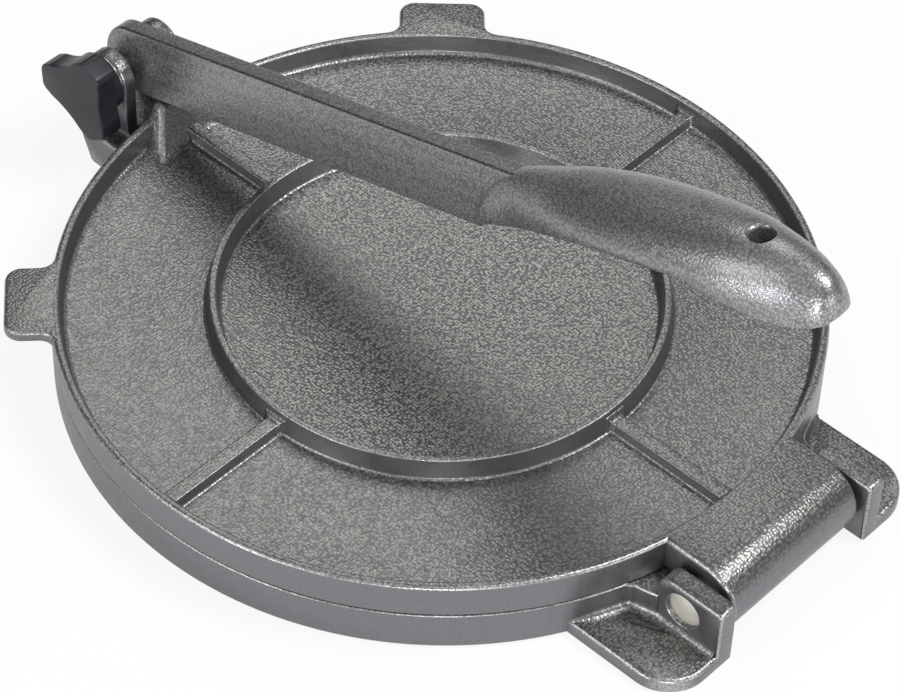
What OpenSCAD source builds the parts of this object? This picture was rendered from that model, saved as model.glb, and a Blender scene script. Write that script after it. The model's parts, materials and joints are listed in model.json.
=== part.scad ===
// Hand press for flat dough rounds: two hinged round plates that a folding lever squeezes together.
// Millimetres. The origin is the plates' centre on the surface that the press stands on.
// +Y points at the hinge, -Y at the lever's yoke, +X at the knob and +Z up.

/* [Plates] */
// Diameter of both round plates
plate_d = 205; // [180:1:240]
// Thickness of the base plate's edge
base_h = 12.2; // [10:0.1:18]
// Air left between the two closed plates
plate_gap = 0.4; // [0.2:0.1:1.5]
// Height of the lid from its pressing face to the top of its rim
lid_h = 10.2; // [8:0.1:16]
// Thickness of the lid's floor, and of the base's top wall
floor_t = 4; // [3:0.5:6]
// Width of the lid's rim along its top
rim_w = 2.3; // [2:0.1:5]
// How much wider the rim and the ring are at their foot
draft_w = 1.4; // [0.8:0.1:4]
// Radius of the rounded outer corners of both plates
edge_r = 1.2; // [0.5:0.1:2.5]

/* [Lid ring and ribs] */
// Diameter of the lid's ring, along the middle of its top
ring_d = 120; // [90:1:150]
// Width of the ring along its top
ring_w = 1.8; // [1.5:0.1:4]
// Height of the four ribs above the lid's floor
rib_h = 3; // [2:0.1:4.5]
// Width of the ribs along their top
rib_w = 4; // [3:0.1:7]
// How much wider a rib is at its foot
rib_draft = 1.6; // [0.8:0.1:5]

/* [Finger tabs] */
// Width of each of the two finger tabs
tab_w = 24.3; // [15:0.1:40]
// How far a tab stands out from the lid
tab_out = 11.8; // [8:0.1:20]
// Thickness of a tab, down from the top of the lid's rim
tab_t = 3.4; // [2.5:0.1:6]
// Corner radius of a tab
tab_r = 4.5; // [2:0.5:8]
// Radius of the hollow corners where a tab meets the lid
tab_root_r = 4; // [1:0.5:6]
// Angle of the tabs to each side of the yoke
tab_angle = 47; // [35:1:70]

/* [Hinge] */
// Distance of the hinge pin from the plates' edge
hinge_out = 9.5; // [8:0.1:14]
// Diameter of the hinge pin
pin_d = 9; // [5:0.1:10]
// Radial running clearance of the hinge pin and of the lever's bolt
run_fit = 0.06; // [0.02:0.01:0.1]
// Width of the lid's hinge barrel
barrel_w = 48.8; // [36:0.2:60]
// Gap on each side between the barrel and an ear
barrel_gap = 1.6; // [0.4:0.1:3]
// Thickness of each hinge ear
ear_t = 6; // [4:0.5:9]
// Height of the hinge ears
ear_h = 20; // [18:0.5:24]
// Reach of the hinge ears past the pin
ear_reach = 12.2; // [10:0.1:16]
// Rounding of the ears' corner toward the plates
ear_r = 4.5; // [2:0.5:7]
// Thickness of the two foot shelves beside the hinge
shelf_t = 4.5; // [3:0.5:8]
// Reach of a foot shelf to the side of its ear
shelf_out = 16.8; // [10:0.2:24]
// Corner radius of a foot shelf
shelf_r = 12; // [4:0.5:14]

/* [Yoke] */
// Distance of the lever's bolt from the plates' edge
yoke_out = 14; // [13:0.1:18]
// Height of the lever's bolt above the table
bolt_z = 30; // [28:0.1:36]
// Gap between the two yoke ears
yoke_gap = 13; // [12:0.1:15]
// Thickness of each yoke ear
yoke_t = 4.3; // [3.5:0.1:7]
// Radius of the yoke ears around the bolt
yoke_r = 7.4; // [6:0.1:8]
// Width of the bracket below the yoke ears
bracket_w = 33; // [26:1:44]
// How far the bracket's front leans in toward the plates, down to the table
bracket_lean = 5; // [0:0.5:8]

/* [Press pad] */
// Height of the pad's top above the table
pad_z = 26.7; // [25:0.1:27]
// Width of the pad along its top
pad_w = 13; // [8:0.5:20]
// Depth of the pad along its top
pad_depth = 3; // [2:0.1:6]
// Lean of the pad's sides and of its face, away from upright
pad_lean = 35; // [5:1:40]

/* [Lever] */
// Lean of the resting lever's bar above the horizontal
lever_lean = 15.8; // [15.5:0.1:24]
// Reach of the lever past the hinge pin, measured level
lever_past = 13.4; // [5:0.1:40]
// Height of the lever's bar above its bolt
bar_up = 11.8; // [9:0.1:13]
// Depth of the lever's bar below its bolt
bar_down = 6.7; // [5:0.1:6.8]
// Width of the bar along its top edge
bar_top_w = 5; // [4:0.1:8]
// Width of the bar along its lower edge
bar_foot_w = 11; // [6:0.1:14]
// How far the centre of the bar's round end lies past the bolt
eye_shift = 2.4; // [0:0.1:3]

/* [Grip] */
// Length of the grip
grip_l = 114.4; // [90:0.2:130]
// Width of the grip at its widest
grip_w = 29; // [24:0.5:40]
// Height of the grip's crown above the bolt's level along the bar
grip_top = 20.7; // [16:0.1:24]
// Depth of the grip's rounded underside below its widest level
grip_under = 2.5; // [1:0.1:5]
// Diameter of the hang hole
hang_d = 6.6; // [4:0.1:9]
// Distance of the hang hole from the lever's tip
hang_back = 21.6; // [20:0.1:34]

/* [Bolt and knob] */
// Diameter of the lever's bolt
bolt_d = 6; // [5:0.5:7]
// Width across flats of the bolt's head
head_af = 10; // [8:0.5:11]
// Thickness of the bolt's head
head_t = 4; // [3:0.5:6]
// How deep the bolt's head sits in its six-sided seat in the yoke ear
head_seat = 3; // [1:0.5:4]
// Diameter of the washer under the knob
washer_d = 14; // [12:0.5:18]
// Thickness of the washer
washer_t = 1; // [0.6:0.1:2]
// Diameter of the knob's collar
collar_d = 17; // [14:0.5:20]
// Length of the knob's collar
collar_l = 3.6; // [2:0.1:8]
// Thickness of the knob's three-lobed body
knob_t = 7; // [5:0.5:12]
// Distance of each lobe's tip from the bolt
knob_reach = 14.4; // [13:0.1:20]
// Radius of each lobe's round end
lobe_r = 5.4; // [4:0.1:7]
// Turn of the knob from having one lobe level with the bolt
knob_angle = 3; // [0:1:119]
// Depth of the hollow in each of the knob's three sides
flute_depth = 0.8; // [0.4:0.1:2]
// Outer diameter of the knob's threaded insert
insert_d = 9; // [8:0.5:12]

/* [Hidden] */
$fn = 96;
eps = 0.01;
CAST = "#7d7b80";
LEVER = "#66656b";
STEEL = "#c9c9cc";
PLASTIC = "#26272b";
BRASS = "#b8935a";

plate_r = plate_d / 2;
lid_z = base_h + plate_gap;
top_z = lid_z + lid_h;
rim_r = plate_r - rim_w;
floor_z = lid_z + floor_t;
base_wall = 5;
base_rib_w = 5;
pocket_h = base_h - floor_t;
pocket_r = plate_r - base_wall;

pin_y = plate_r + hinge_out;
pin_z = (base_h + lid_z) / 2;
barrel_r = top_z - pin_z;
barrel_clear = 0.6;
barrel_root = 12;
ear_x = barrel_w / 2 + barrel_gap;
ear_end_y = pin_y + ear_reach;
ear_back = 8.4;
ear_start_y = pin_y - ear_back;
neck_step = 1.4;
neck_x = ear_x + ear_t + neck_step;
hinge_root = 22;
shelf_x = ear_x + ear_t + shelf_out;
pin_dome = 0.9;
pin_sink = 1.6;
sink_rim = 0.75;
sink_r = pin_d / 2 + sink_rim;
pin_head_r = sink_r - run_fit;
pin_half = ear_x + ear_t - pin_sink;

bolt_y = -plate_r - yoke_out;
bolt_r = bolt_d / 2;
yoke_x = yoke_gap / 2 + yoke_t;
bracket_y = bolt_y - yoke_r;
bracket_depth = plate_r / 3;
ear_root = 4;
pad_inset = 0.5;
pad_y = pad_inset - plate_r;

bar_mid = (bar_up - bar_down) / 2;
eye_r = (bar_up + bar_down) / 2;
head_fit = 0.15;
lever_l = (pin_y + lever_past - bolt_y) / cos(lever_lean);
grip_start = lever_l - grip_l;
bar_run = 26;
bar_end_up = 6;

washer_x = yoke_x;
knob_x = washer_x + washer_t;
body_x = knob_x + collar_l;
knob_cap = 2;
insert_l = collar_l + knob_t - knob_cap;
bolt_short = 1;
bolt_end_x = knob_x + insert_l - bolt_short;
flute_r = 22;
flank_turn = 56;

// Share along the grip, of its half width, and of the crown at the widest level and on top
GRIP = [
    [0.00, 0.46, -0.18, -0.05],
    [0.02, 0.54, -0.14, 0.16],
    [0.06, 0.57, -0.07, 0.41],
    [0.11, 0.58, -0.01, 0.57],
    [0.20, 0.72, 0.17, 0.70],
    [0.30, 0.88, 0.33, 0.82],
    [0.41, 0.97, 0.44, 0.89],
    [0.52, 1.00, 0.49, 0.94],
    [0.64, 0.97, 0.50, 0.98],
    [0.74, 0.95, 0.40, 1.00],
    [0.83, 0.85, 0.28, 0.96],
    [0.90, 0.72, 0.20, 0.88],
    [0.95, 0.56, 0.18, 0.76],
    [0.98, 0.40, 0.19, 0.64],
    [0.995, 0.22, 0.22, 0.51],
    [1.00, 0.07, 0.27, 0.39]
];
GRIP_SIDES = 28;

// Solid of a 2D outline drawn in Y and Z, centred on X
module across(width) {
    rotate([90, 0, 90]) linear_extrude(width, center = true) children();
}

// Cylinder along X between two places
module rod_x(r, from, to) {
    translate([from, 0, 0]) rotate([0, 90, 0]) cylinder(r = r, h = to - from);
}

// Half outline of a disc, with one rounded outer corner at its foot or at its top
module disc_outline(r, h, round_r, at_top) {
    corner_z = at_top ? h - round_r : round_r;
    square([r - round_r, h]);
    translate([0, at_top ? 0 : round_r]) square([r, h - round_r]);
    translate([r - round_r, corner_z]) circle(round_r);
}

// One finger tab in plan, with hollow corners where it meets the round edge
module tab_outline() {
    reach = plate_r + tab_out;
    root_x = tab_w / 2 + tab_root_r;
    root_y = sqrt(pow(plate_r + tab_root_r, 2) - pow(root_x, 2));
    inner_y = sqrt(pow(plate_r - rim_w / 2, 2) - pow(root_x, 2));
    difference() {
        union() {
            translate([-tab_w / 2, -reach + tab_r]) square([tab_w, reach - tab_r - inner_y]);
            translate([tab_r - tab_w / 2, -reach]) square([tab_w - 2 * tab_r, reach - inner_y]);
            for (side = [-1, 1]) translate([side * (tab_w / 2 - tab_r), tab_r - reach]) circle(tab_r);
            translate([-root_x, -root_y]) square([2 * root_x, root_y - inner_y]);
        }
        for (side = [-1, 1]) translate([side * root_x, -root_y]) circle(tab_root_r);
        circle(plate_r - rim_w / 2);
    }
}

module tabs() {
    for (side = [-1, 1]) rotate([0, 0, side * tab_angle])
        translate([0, 0, top_z - tab_t]) linear_extrude(tab_t) tab_outline();
}

// Base plate

module base_underside() {
    difference() {
        translate([0, 0, -1]) cylinder(r = pocket_r, h = pocket_h + 1);
        for (turn = [0, 90])
            rotate([0, 0, turn])
                translate([-pocket_r - 1, -base_rib_w / 2, -2])
                    cube([2 * pocket_r + 2, base_rib_w, pocket_h + 4]);
    }
}

module hinge_shelf() {
    corner_y = ear_end_y - shelf_r;
    root_y = plate_r - hinge_root;
    linear_extrude(shelf_t) {
        translate([0, root_y]) square([shelf_x - shelf_r, ear_end_y - root_y]);
        translate([0, root_y]) square([shelf_x, corner_y - root_y]);
        translate([shelf_x - shelf_r, corner_y]) circle(shelf_r);
    }
}

module hinge_ear() {
    top_y = ear_start_y + ear_r;
    across(ear_t) {
        translate([ear_start_y, 0]) square([ear_end_y - ear_start_y, ear_h - ear_r]);
        translate([top_y, 0]) square([ear_end_y - top_y, ear_h]);
        translate([top_y, ear_h - ear_r]) circle(ear_r);
    }
}

module base_hinge() {
    root_y = plate_r - hinge_root;
    for (side = [-1, 1]) mirror([side > 0 ? 0 : 1, 0, 0]) {
        translate([ear_x + ear_t / 2, 0, 0]) hinge_ear();
        translate([0, root_y, 0]) cube([neck_x, ear_start_y - root_y + 1, base_h]);
        hinge_shelf();
    }
}

// Room for the lid's barrel as it turns, cut between the two ears
module barrel_room() {
    room_w = 2 * ear_x;
    translate([0, pin_y, pin_z]) rod_x(barrel_r + barrel_clear, -ear_x, ear_x);
    translate([-ear_x, pin_y, -1]) cube([room_w, ear_reach + 2, ear_h + 2]);
}

module yoke_bracket() {
    back_y = bracket_y + bracket_depth;
    across(bracket_w)
        polygon([[bracket_y + bracket_lean, 0], [back_y, 0], [back_y, base_h], [bracket_y, base_h]]);
}

// Six-sided bar along X, from a place on the axis
module bolt_head(across_flats, length, from) {
    translate([from, 0, 0]) rotate([0, 90, 0])
        cylinder(d = across_flats / cos(30), h = length, $fn = 6);
}

module yoke_ears() {
    difference() {
        across(2 * yoke_x) {
            translate([bolt_y, bolt_z]) circle(yoke_r);
            translate([bolt_y - yoke_r, base_h - ear_root])
                square([2 * yoke_r, bolt_z - base_h + ear_root]);
        }
        translate([-yoke_gap / 2, bolt_y - yoke_r - 1, base_h])
            cube([yoke_gap, 2 * yoke_r + 2, bolt_z + yoke_r]);
    }
}

module base_plate() {
    color(CAST) difference() {
        union() {
            rotate_extrude() disc_outline(plate_r, base_h, edge_r, false);
            base_hinge();
            yoke_bracket();
            yoke_ears();
        }
        base_underside();
        barrel_room();
        translate([0, pin_y, pin_z]) {
            rod_x(pin_d / 2 + run_fit, -ear_x - ear_t - 1, ear_x + ear_t + 1);
            for (side = [-1, 1]) mirror([side > 0 ? 0 : 1, 0, 0])
                rod_x(sink_r, ear_x + ear_t - pin_sink, ear_x + ear_t + 1);
        }
        translate([0, bolt_y, bolt_z]) {
            rod_x(bolt_r + run_fit, -yoke_x - 1, yoke_x + 1);
            bolt_head(head_af + 2 * head_fit, head_seat + 2, -yoke_x - 2);
        }
    }
}

// Lid

// Half section of an upstanding wall with sloping sides: inner and outer top radius, foot radius on each side
module wall_outline(inner, outer, foot_in, foot_out) {
    polygon([[foot_in, floor_z - eps], [foot_out, floor_z - eps], [outer, top_z], [inner, top_z]]);
}

module lid_disc() {
    rotate_extrude() difference() {
        translate([0, lid_z]) disc_outline(plate_r, lid_h, edge_r, true);
        polygon([[0, floor_z], [rim_r - draft_w, floor_z], [rim_r, top_z + eps], [0, top_z + eps]]);
    }
}

module lid_ring() {
    inner = (ring_d - ring_w) / 2;
    outer = (ring_d + ring_w) / 2;
    rotate_extrude() wall_outline(inner, outer, inner - draft_w, outer + draft_w);
}

module lid_rib() {
    from = ring_d / 2;
    to = rim_r;
    foot = rib_w / 2 + rib_draft / 2;
    translate([from, 0, floor_z]) rotate([90, 0, 90]) linear_extrude(to - from)
        polygon([[-foot, -eps], [foot, -eps], [rib_w / 2, rib_h], [-rib_w / 2, rib_h]]);
}

module press_pad() {
    pad_h = pad_z - lid_z;
    spread = pad_h * tan(pad_lean);
    half = pad_w / 2;
    intersection() {
        across(2 * plate_r) translate([pad_y, lid_z])
            polygon([[0, 0], [pad_depth + spread, 0], [pad_depth, pad_h], [0, pad_h]]);
        translate([0, 0, lid_z]) rotate([90, 0, 0]) linear_extrude(2 * plate_r)
            polygon([[-half - spread, 0], [half + spread, 0], [half, pad_h], [-half, pad_h]]);
    }
}

// Barrel and the web that joins it to the rim, kept out of the lid's hollow
module lid_hinge() {
    difference() {
        across(barrel_w) {
            translate([plate_r - barrel_root, lid_z]) square([pin_y - plate_r + barrel_root, lid_h]);
            translate([pin_y, pin_z]) circle(barrel_r);
        }
        translate([0, 0, floor_z])
            cylinder(r1 = rim_r - draft_w, r2 = rim_r, h = lid_h - floor_t + eps);
    }
}

module top_plate() {
    color(CAST) difference() {
        union() {
            lid_disc();
            lid_ring();
            for (turn = [0, 90, 180, 270]) rotate([0, 0, turn]) lid_rib();
            tabs();
            press_pad();
            lid_hinge();
        }
        translate([0, pin_y, pin_z]) rod_x(pin_d / 2 + run_fit, -barrel_w / 2 - 1, barrel_w / 2 + 1);
    }
}

// Lever, drawn along Y from the bolt and then leaned and moved to the yoke

module bar_outline() {
    run_y = grip_start + bar_run;
    translate([eye_shift, bar_mid]) circle(eye_r);
    polygon([[eye_shift, -bar_down], [grip_start, -bar_down], [run_y, bar_end_up],
             [run_y, bar_up], [eye_shift, bar_up]]);
}

// Section of the bar, narrower along its top edge than along its foot
module bar_section(length) {
    rotate([90, 0, 0]) linear_extrude(2 * length, center = true)
        polygon([[-bar_foot_w / 2, -bar_down], [bar_foot_w / 2, -bar_down],
                 [bar_top_w / 2, bar_up], [-bar_top_w / 2, bar_up]]);
}

module lever_bar() {
    intersection() {
        across(2 * bar_foot_w) bar_outline();
        bar_section(lever_l);
    }
}

// Point on the grip's skin, at a station and an angle around it
function grip_point(station, turn) =
    let (level = station[2] * grip_top, rise = station[3] * grip_top - level)
    [station[1] * grip_w / 2 * cos(turn),
     grip_start + station[0] * grip_l,
     level + (sin(turn) > 0 ? rise : grip_under * station[1]) * sin(turn)];

module grip() {
    last = len(GRIP) - 1;
    skin = [for (station = GRIP) for (k = [0:GRIP_SIDES - 1]) grip_point(station, k * 360 / GRIP_SIDES)];
    bands = [for (row = [0:last - 1]) for (k = [0:GRIP_SIDES - 1])
        let (a = row * GRIP_SIDES + k, b = row * GRIP_SIDES + (k + 1) % GRIP_SIDES)
        each [[a, b, b + GRIP_SIDES], [a, b + GRIP_SIDES, a + GRIP_SIDES]]];
    front = [for (k = [GRIP_SIDES - 1:-1:0]) k];
    back = [for (k = [0:GRIP_SIDES - 1]) last * GRIP_SIDES + k];
    polyhedron(skin, concat([front], bands, [back]));
}

module lever() {
    color(LEVER) translate([0, bolt_y, bolt_z]) rotate([lever_lean, 0, 0]) difference() {
        union() {
            lever_bar();
            grip();
        }
        rod_x(bolt_r + run_fit, -bar_foot_w, bar_foot_w);
        translate([0, lever_l - hang_back, -grip_top]) cylinder(d = hang_d, h = 3 * grip_top);
    }
}

// Pin, bolt and knob

module hinge_pin() {
    cap_r = (pow(pin_head_r, 2) + pow(pin_dome, 2)) / (2 * pin_dome);
    end = pin_half + pin_dome;
    color(STEEL) translate([0, pin_y, pin_z]) rotate([0, 90, 0]) rotate_extrude() {
        translate([0, -pin_half]) square([pin_d / 2, 2 * pin_half]);
        for (side = [-1, 1]) intersection() {
            translate([0, side > 0 ? pin_half : -end]) square([pin_head_r, pin_dome]);
            translate([0, side * (end - cap_r)]) circle(cap_r);
        }
    }
}

module pivot_bolt() {
    color(STEEL) translate([0, bolt_y, bolt_z]) {
        rod_x(bolt_r, -yoke_x, bolt_end_x);
        bolt_head(head_af, head_t, head_seat - yoke_x - head_t);
    }
}

module knob_washer() {
    color(STEEL) translate([0, bolt_y, bolt_z]) difference() {
        rod_x(washer_d / 2, washer_x, washer_x + washer_t);
        rod_x(bolt_r + run_fit, washer_x - 1, washer_x + washer_t + 1);
    }
}

// Rounded triangle with a shallow hollow in each side
module knob_outline() {
    arm = knob_reach - lobe_r;
    flat = arm * cos(60) + lobe_r;
    corners = [for (turn = [60, 180, 300]) for (side = [-flank_turn, flank_turn])
        [arm * cos(turn) + lobe_r * cos(turn + side), arm * sin(turn) + lobe_r * sin(turn + side)]];
    difference() {
        union() {
            polygon(corners);
            for (turn = [60, 180, 300]) rotate(turn) translate([arm, 0]) circle(lobe_r);
        }
        for (turn = [0, 120, 240]) rotate(turn) translate([flat + flute_r - flute_depth, 0]) circle(flute_r);
    }
}

module wing_knob() {
    color(PLASTIC) translate([0, bolt_y, bolt_z]) rotate([knob_angle, 0, 0]) difference() {
        union() {
            rod_x(collar_d / 2, knob_x, body_x);
            translate([body_x + knob_t / 2, 0, 0]) across(knob_t) knob_outline();
        }
        rod_x(insert_d / 2, knob_x - 1, knob_x + insert_l);
    }
}

module knob_insert() {
    color(BRASS) translate([0, bolt_y, bolt_z]) difference() {
        rod_x(insert_d / 2, knob_x, knob_x + insert_l);
        rod_x(bolt_r + run_fit, knob_x - 1, bolt_end_x + 0.5);
    }
}

base_plate();
top_plate();
lever();
hinge_pin();
pivot_bolt();
knob_washer();
wing_knob();
knob_insert();
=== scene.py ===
"""Dresses the hinged plate press: cast plates, folding lever, clamp knob, pins and a plain pale studio."""

import json
import logging
import math
from collections.abc import Callable, Sequence
from dataclasses import dataclass, field
from enum import Enum

import bmesh
import bpy
import numpy as np
from bpy.types import Material, Mesh, Node, NodeTree, Object
from mathutils import Matrix, Vector

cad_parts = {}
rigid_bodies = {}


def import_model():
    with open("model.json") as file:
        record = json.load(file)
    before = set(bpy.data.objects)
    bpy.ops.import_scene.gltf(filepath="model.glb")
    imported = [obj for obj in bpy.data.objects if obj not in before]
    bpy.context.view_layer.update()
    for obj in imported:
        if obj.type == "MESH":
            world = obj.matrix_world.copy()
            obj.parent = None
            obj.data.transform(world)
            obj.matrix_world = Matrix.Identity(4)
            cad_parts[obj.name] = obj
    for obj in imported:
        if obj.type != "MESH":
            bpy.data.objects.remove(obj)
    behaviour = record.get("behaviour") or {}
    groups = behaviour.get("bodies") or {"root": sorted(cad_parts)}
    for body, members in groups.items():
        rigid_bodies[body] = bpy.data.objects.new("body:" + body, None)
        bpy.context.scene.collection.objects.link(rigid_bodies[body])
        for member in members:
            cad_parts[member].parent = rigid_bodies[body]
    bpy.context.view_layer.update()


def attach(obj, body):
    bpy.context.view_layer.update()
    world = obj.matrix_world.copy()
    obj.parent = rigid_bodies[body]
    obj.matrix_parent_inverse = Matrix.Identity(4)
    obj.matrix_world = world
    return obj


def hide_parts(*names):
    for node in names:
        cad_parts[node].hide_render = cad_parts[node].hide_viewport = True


LOG = logging.getLogger("press")
MM = 0.001
# Vertex attribute along roundings and hollow fillets. The coats paint wear there together with painted light:
# pale glints on the castings, a paler sheen on the knob and a dark reflection line on the lever's bar.
MARK = "edge_mark"
FULL = 2 * math.pi
QUARTER = math.pi / 2

Pair = tuple[float, float]
Triple = tuple[float, float, float]
Faces = Sequence[tuple[int, ...]]
Place = Callable[[np.ndarray, np.ndarray], np.ndarray]


class Side(Enum):
    """Side of the press, seen along the lever."""

    KNOB = 1
    PLAIN = -1

    def stretch(self, low: float, high: float) -> Pair:
        """A stretch along X on this side, in rising order."""
        return (low, high) if self is Side.KNOB else (-high, -low)


# Outlines and curves


def corner_path(corners: Sequence[Triple], closed: bool, steps: int = 6) -> np.ndarray:
    """Rounds the corners of a polyline.

    Args:
        corners: Horizontal place, vertical place and rounding radius of each corner.
        closed: Whether the last corner joins the first.
        steps: Pieces in each rounding.

    Returns:
        Rows of place and edge mark, which is 1 along the middle of a rounding and 0 elsewhere.
    """
    rows: list[Triple] = []
    count = len(corners)
    for index, (here_a, here_b, radius) in enumerate(corners):
        here = np.array([here_a, here_b])
        at_end = not closed and index in (0, count - 1)
        if radius <= 0 or at_end:
            rows.append((here_a, here_b, 0.0))
            continue
        before = np.array(corners[index - 1][:2]) - here
        after = np.array(corners[(index + 1) % count][:2]) - here
        before = before / np.linalg.norm(before)
        after = after / np.linalg.norm(after)
        half = math.acos(float(np.clip(before @ after, -1, 1))) / 2
        reach = radius / math.tan(half)
        middle = (before + after) / np.linalg.norm(before + after)
        centre = here + middle * radius / math.sin(half)
        start = here + before * reach - centre
        end = here + after * reach - centre
        angle_start = math.atan2(start[1], start[0])
        turn = (math.atan2(end[1], end[0]) - angle_start + math.pi) % FULL - math.pi
        for step in range(steps + 1):
            share = step / steps
            angle = angle_start + turn * share
            point = centre + radius * np.array([math.cos(angle), math.sin(angle)])
            rows.append((float(point[0]), float(point[1]), math.sin(math.pi * share)))
    return np.array(rows)


def arc(centre: Pair, radius: float, start: float, end: float, steps: int) -> list[Pair]:
    """Points on an arc, from one angle to another in degrees."""
    angles = np.radians(np.linspace(start, end, steps))
    return [(centre[0] + radius * math.cos(a), centre[1] + radius * math.sin(a)) for a in angles]


def along_x(x: float, flat: np.ndarray) -> np.ndarray:
    """Planar points as points in space that all have one place along X."""
    return np.column_stack([np.full(len(flat), x), flat])


def counter_clockwise(outline: np.ndarray) -> np.ndarray:
    """Puts a closed outline in counter-clockwise order.

    Args:
        outline: Its points in either order, with or without more columns.

    Returns:
        The same rows, turned round where they ran clockwise.
    """
    after = np.roll(outline, -1, axis=0)
    area = np.sum(outline[:, 0] * after[:, 1] - after[:, 0] * outline[:, 1])
    return outline if area > 0 else outline[::-1]


def inset(outline: np.ndarray, distance: float) -> np.ndarray:
    """Moves a closed counter-clockwise outline inward.

    Args:
        outline: Points of the outline.
        distance: How far it moves.

    Returns:
        The moved points, one for each point of the outline.
    """
    to_next = np.roll(outline, -1, axis=0) - outline
    to_next = to_next / np.maximum(np.linalg.norm(to_next, axis=1, keepdims=True), 1e-9)
    normal = np.stack([-to_next[:, 1], to_next[:, 0]], axis=1)
    before = np.roll(normal, 1, axis=0)
    bend = np.maximum(1 + np.sum(normal * before, axis=1, keepdims=True), 0.4)
    return outline + distance * (normal + before) / bend


def smooth_table(table: Sequence[Sequence[float]], places: np.ndarray) -> np.ndarray:
    """Reads a table of stations along a smooth curve that never swings past its values.

    Args:
        table: Rows that start with the station's place, in rising order.
        places: Where the curve is read.

    Returns:
        The other columns at those places.
    """
    rows = np.array(table, float)
    x, y = rows[:, 0], rows[:, 1:]
    gap = np.diff(x)[:, None]
    slope = np.diff(y, axis=0) / gap
    tangent = np.zeros_like(y)
    tangent[0], tangent[-1] = slope[0], slope[-1]
    both = slope[:-1] * slope[1:] > 0
    mean = 2 * slope[:-1] * slope[1:] / np.where(both, slope[:-1] + slope[1:], 1)
    tangent[1:-1] = np.where(both, mean, 0)
    cell = np.clip(np.searchsorted(x, places, side="right") - 1, 0, len(x) - 2)
    share = ((places - x[cell]) / gap[cell, 0])[:, None]
    h00 = (1 + 2 * share) * (1 - share) ** 2
    h10 = share * (1 - share) ** 2
    h01 = share**2 * (3 - 2 * share)
    h11 = share**2 * (share - 1)
    near = h00 * y[cell] + h10 * gap[cell] * tangent[cell]
    return near + h01 * y[cell + 1] + h11 * gap[cell] * tangent[cell + 1]


def flare(distance: np.ndarray, radius: float) -> np.ndarray:
    """Rise of a hollow fillet at a distance from the wall that it climbs."""
    left = np.clip(radius - np.maximum(distance, 0.0), 0.0, radius)
    return radius - np.sqrt(radius**2 - left**2)


def fillet_section(radius: float, sunk: float, steps: int) -> np.ndarray:
    """Section of a hollow fillet in the corner at the origin.

    Args:
        radius: Its radius.
        sunk: How deep it goes into both walls.
        steps: Points on its curve.

    Returns:
        Its closed outline.
    """
    turns = np.linspace(0, QUARTER, steps)
    curve = [(radius * (1 - math.sin(a)), radius * (1 - math.cos(a))) for a in turns]
    return np.array([(-sunk, -sunk), (radius, -sunk), *curve, (-sunk, radius)])


def heading(degrees: float) -> np.ndarray:
    """Unit vector at an angle in degrees."""
    return np.array([math.cos(math.radians(degrees)), math.sin(math.radians(degrees))])


def turn_between(degrees: float, aim: float) -> float:
    """Signed turn in degrees from an aim to a direction."""
    return (degrees - aim + 180) % 360 - 180


def six_sides(across_flats: float) -> np.ndarray:
    """Outline of a hexagon with a corner toward the first axis."""
    return np.array([across_flats / 2 / math.cos(math.radians(30)) * heading(a) for a in range(0, 360, 60)])


# Mesh making


def band(low: int, high: int, count: int) -> list[tuple[int, ...]]:
    """Faces between two closed rows, each given by the number of its first vertex."""
    return [(low + k, low + (k + 1) % count, high + (k + 1) % count, high + k) for k in range(count)]


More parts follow.
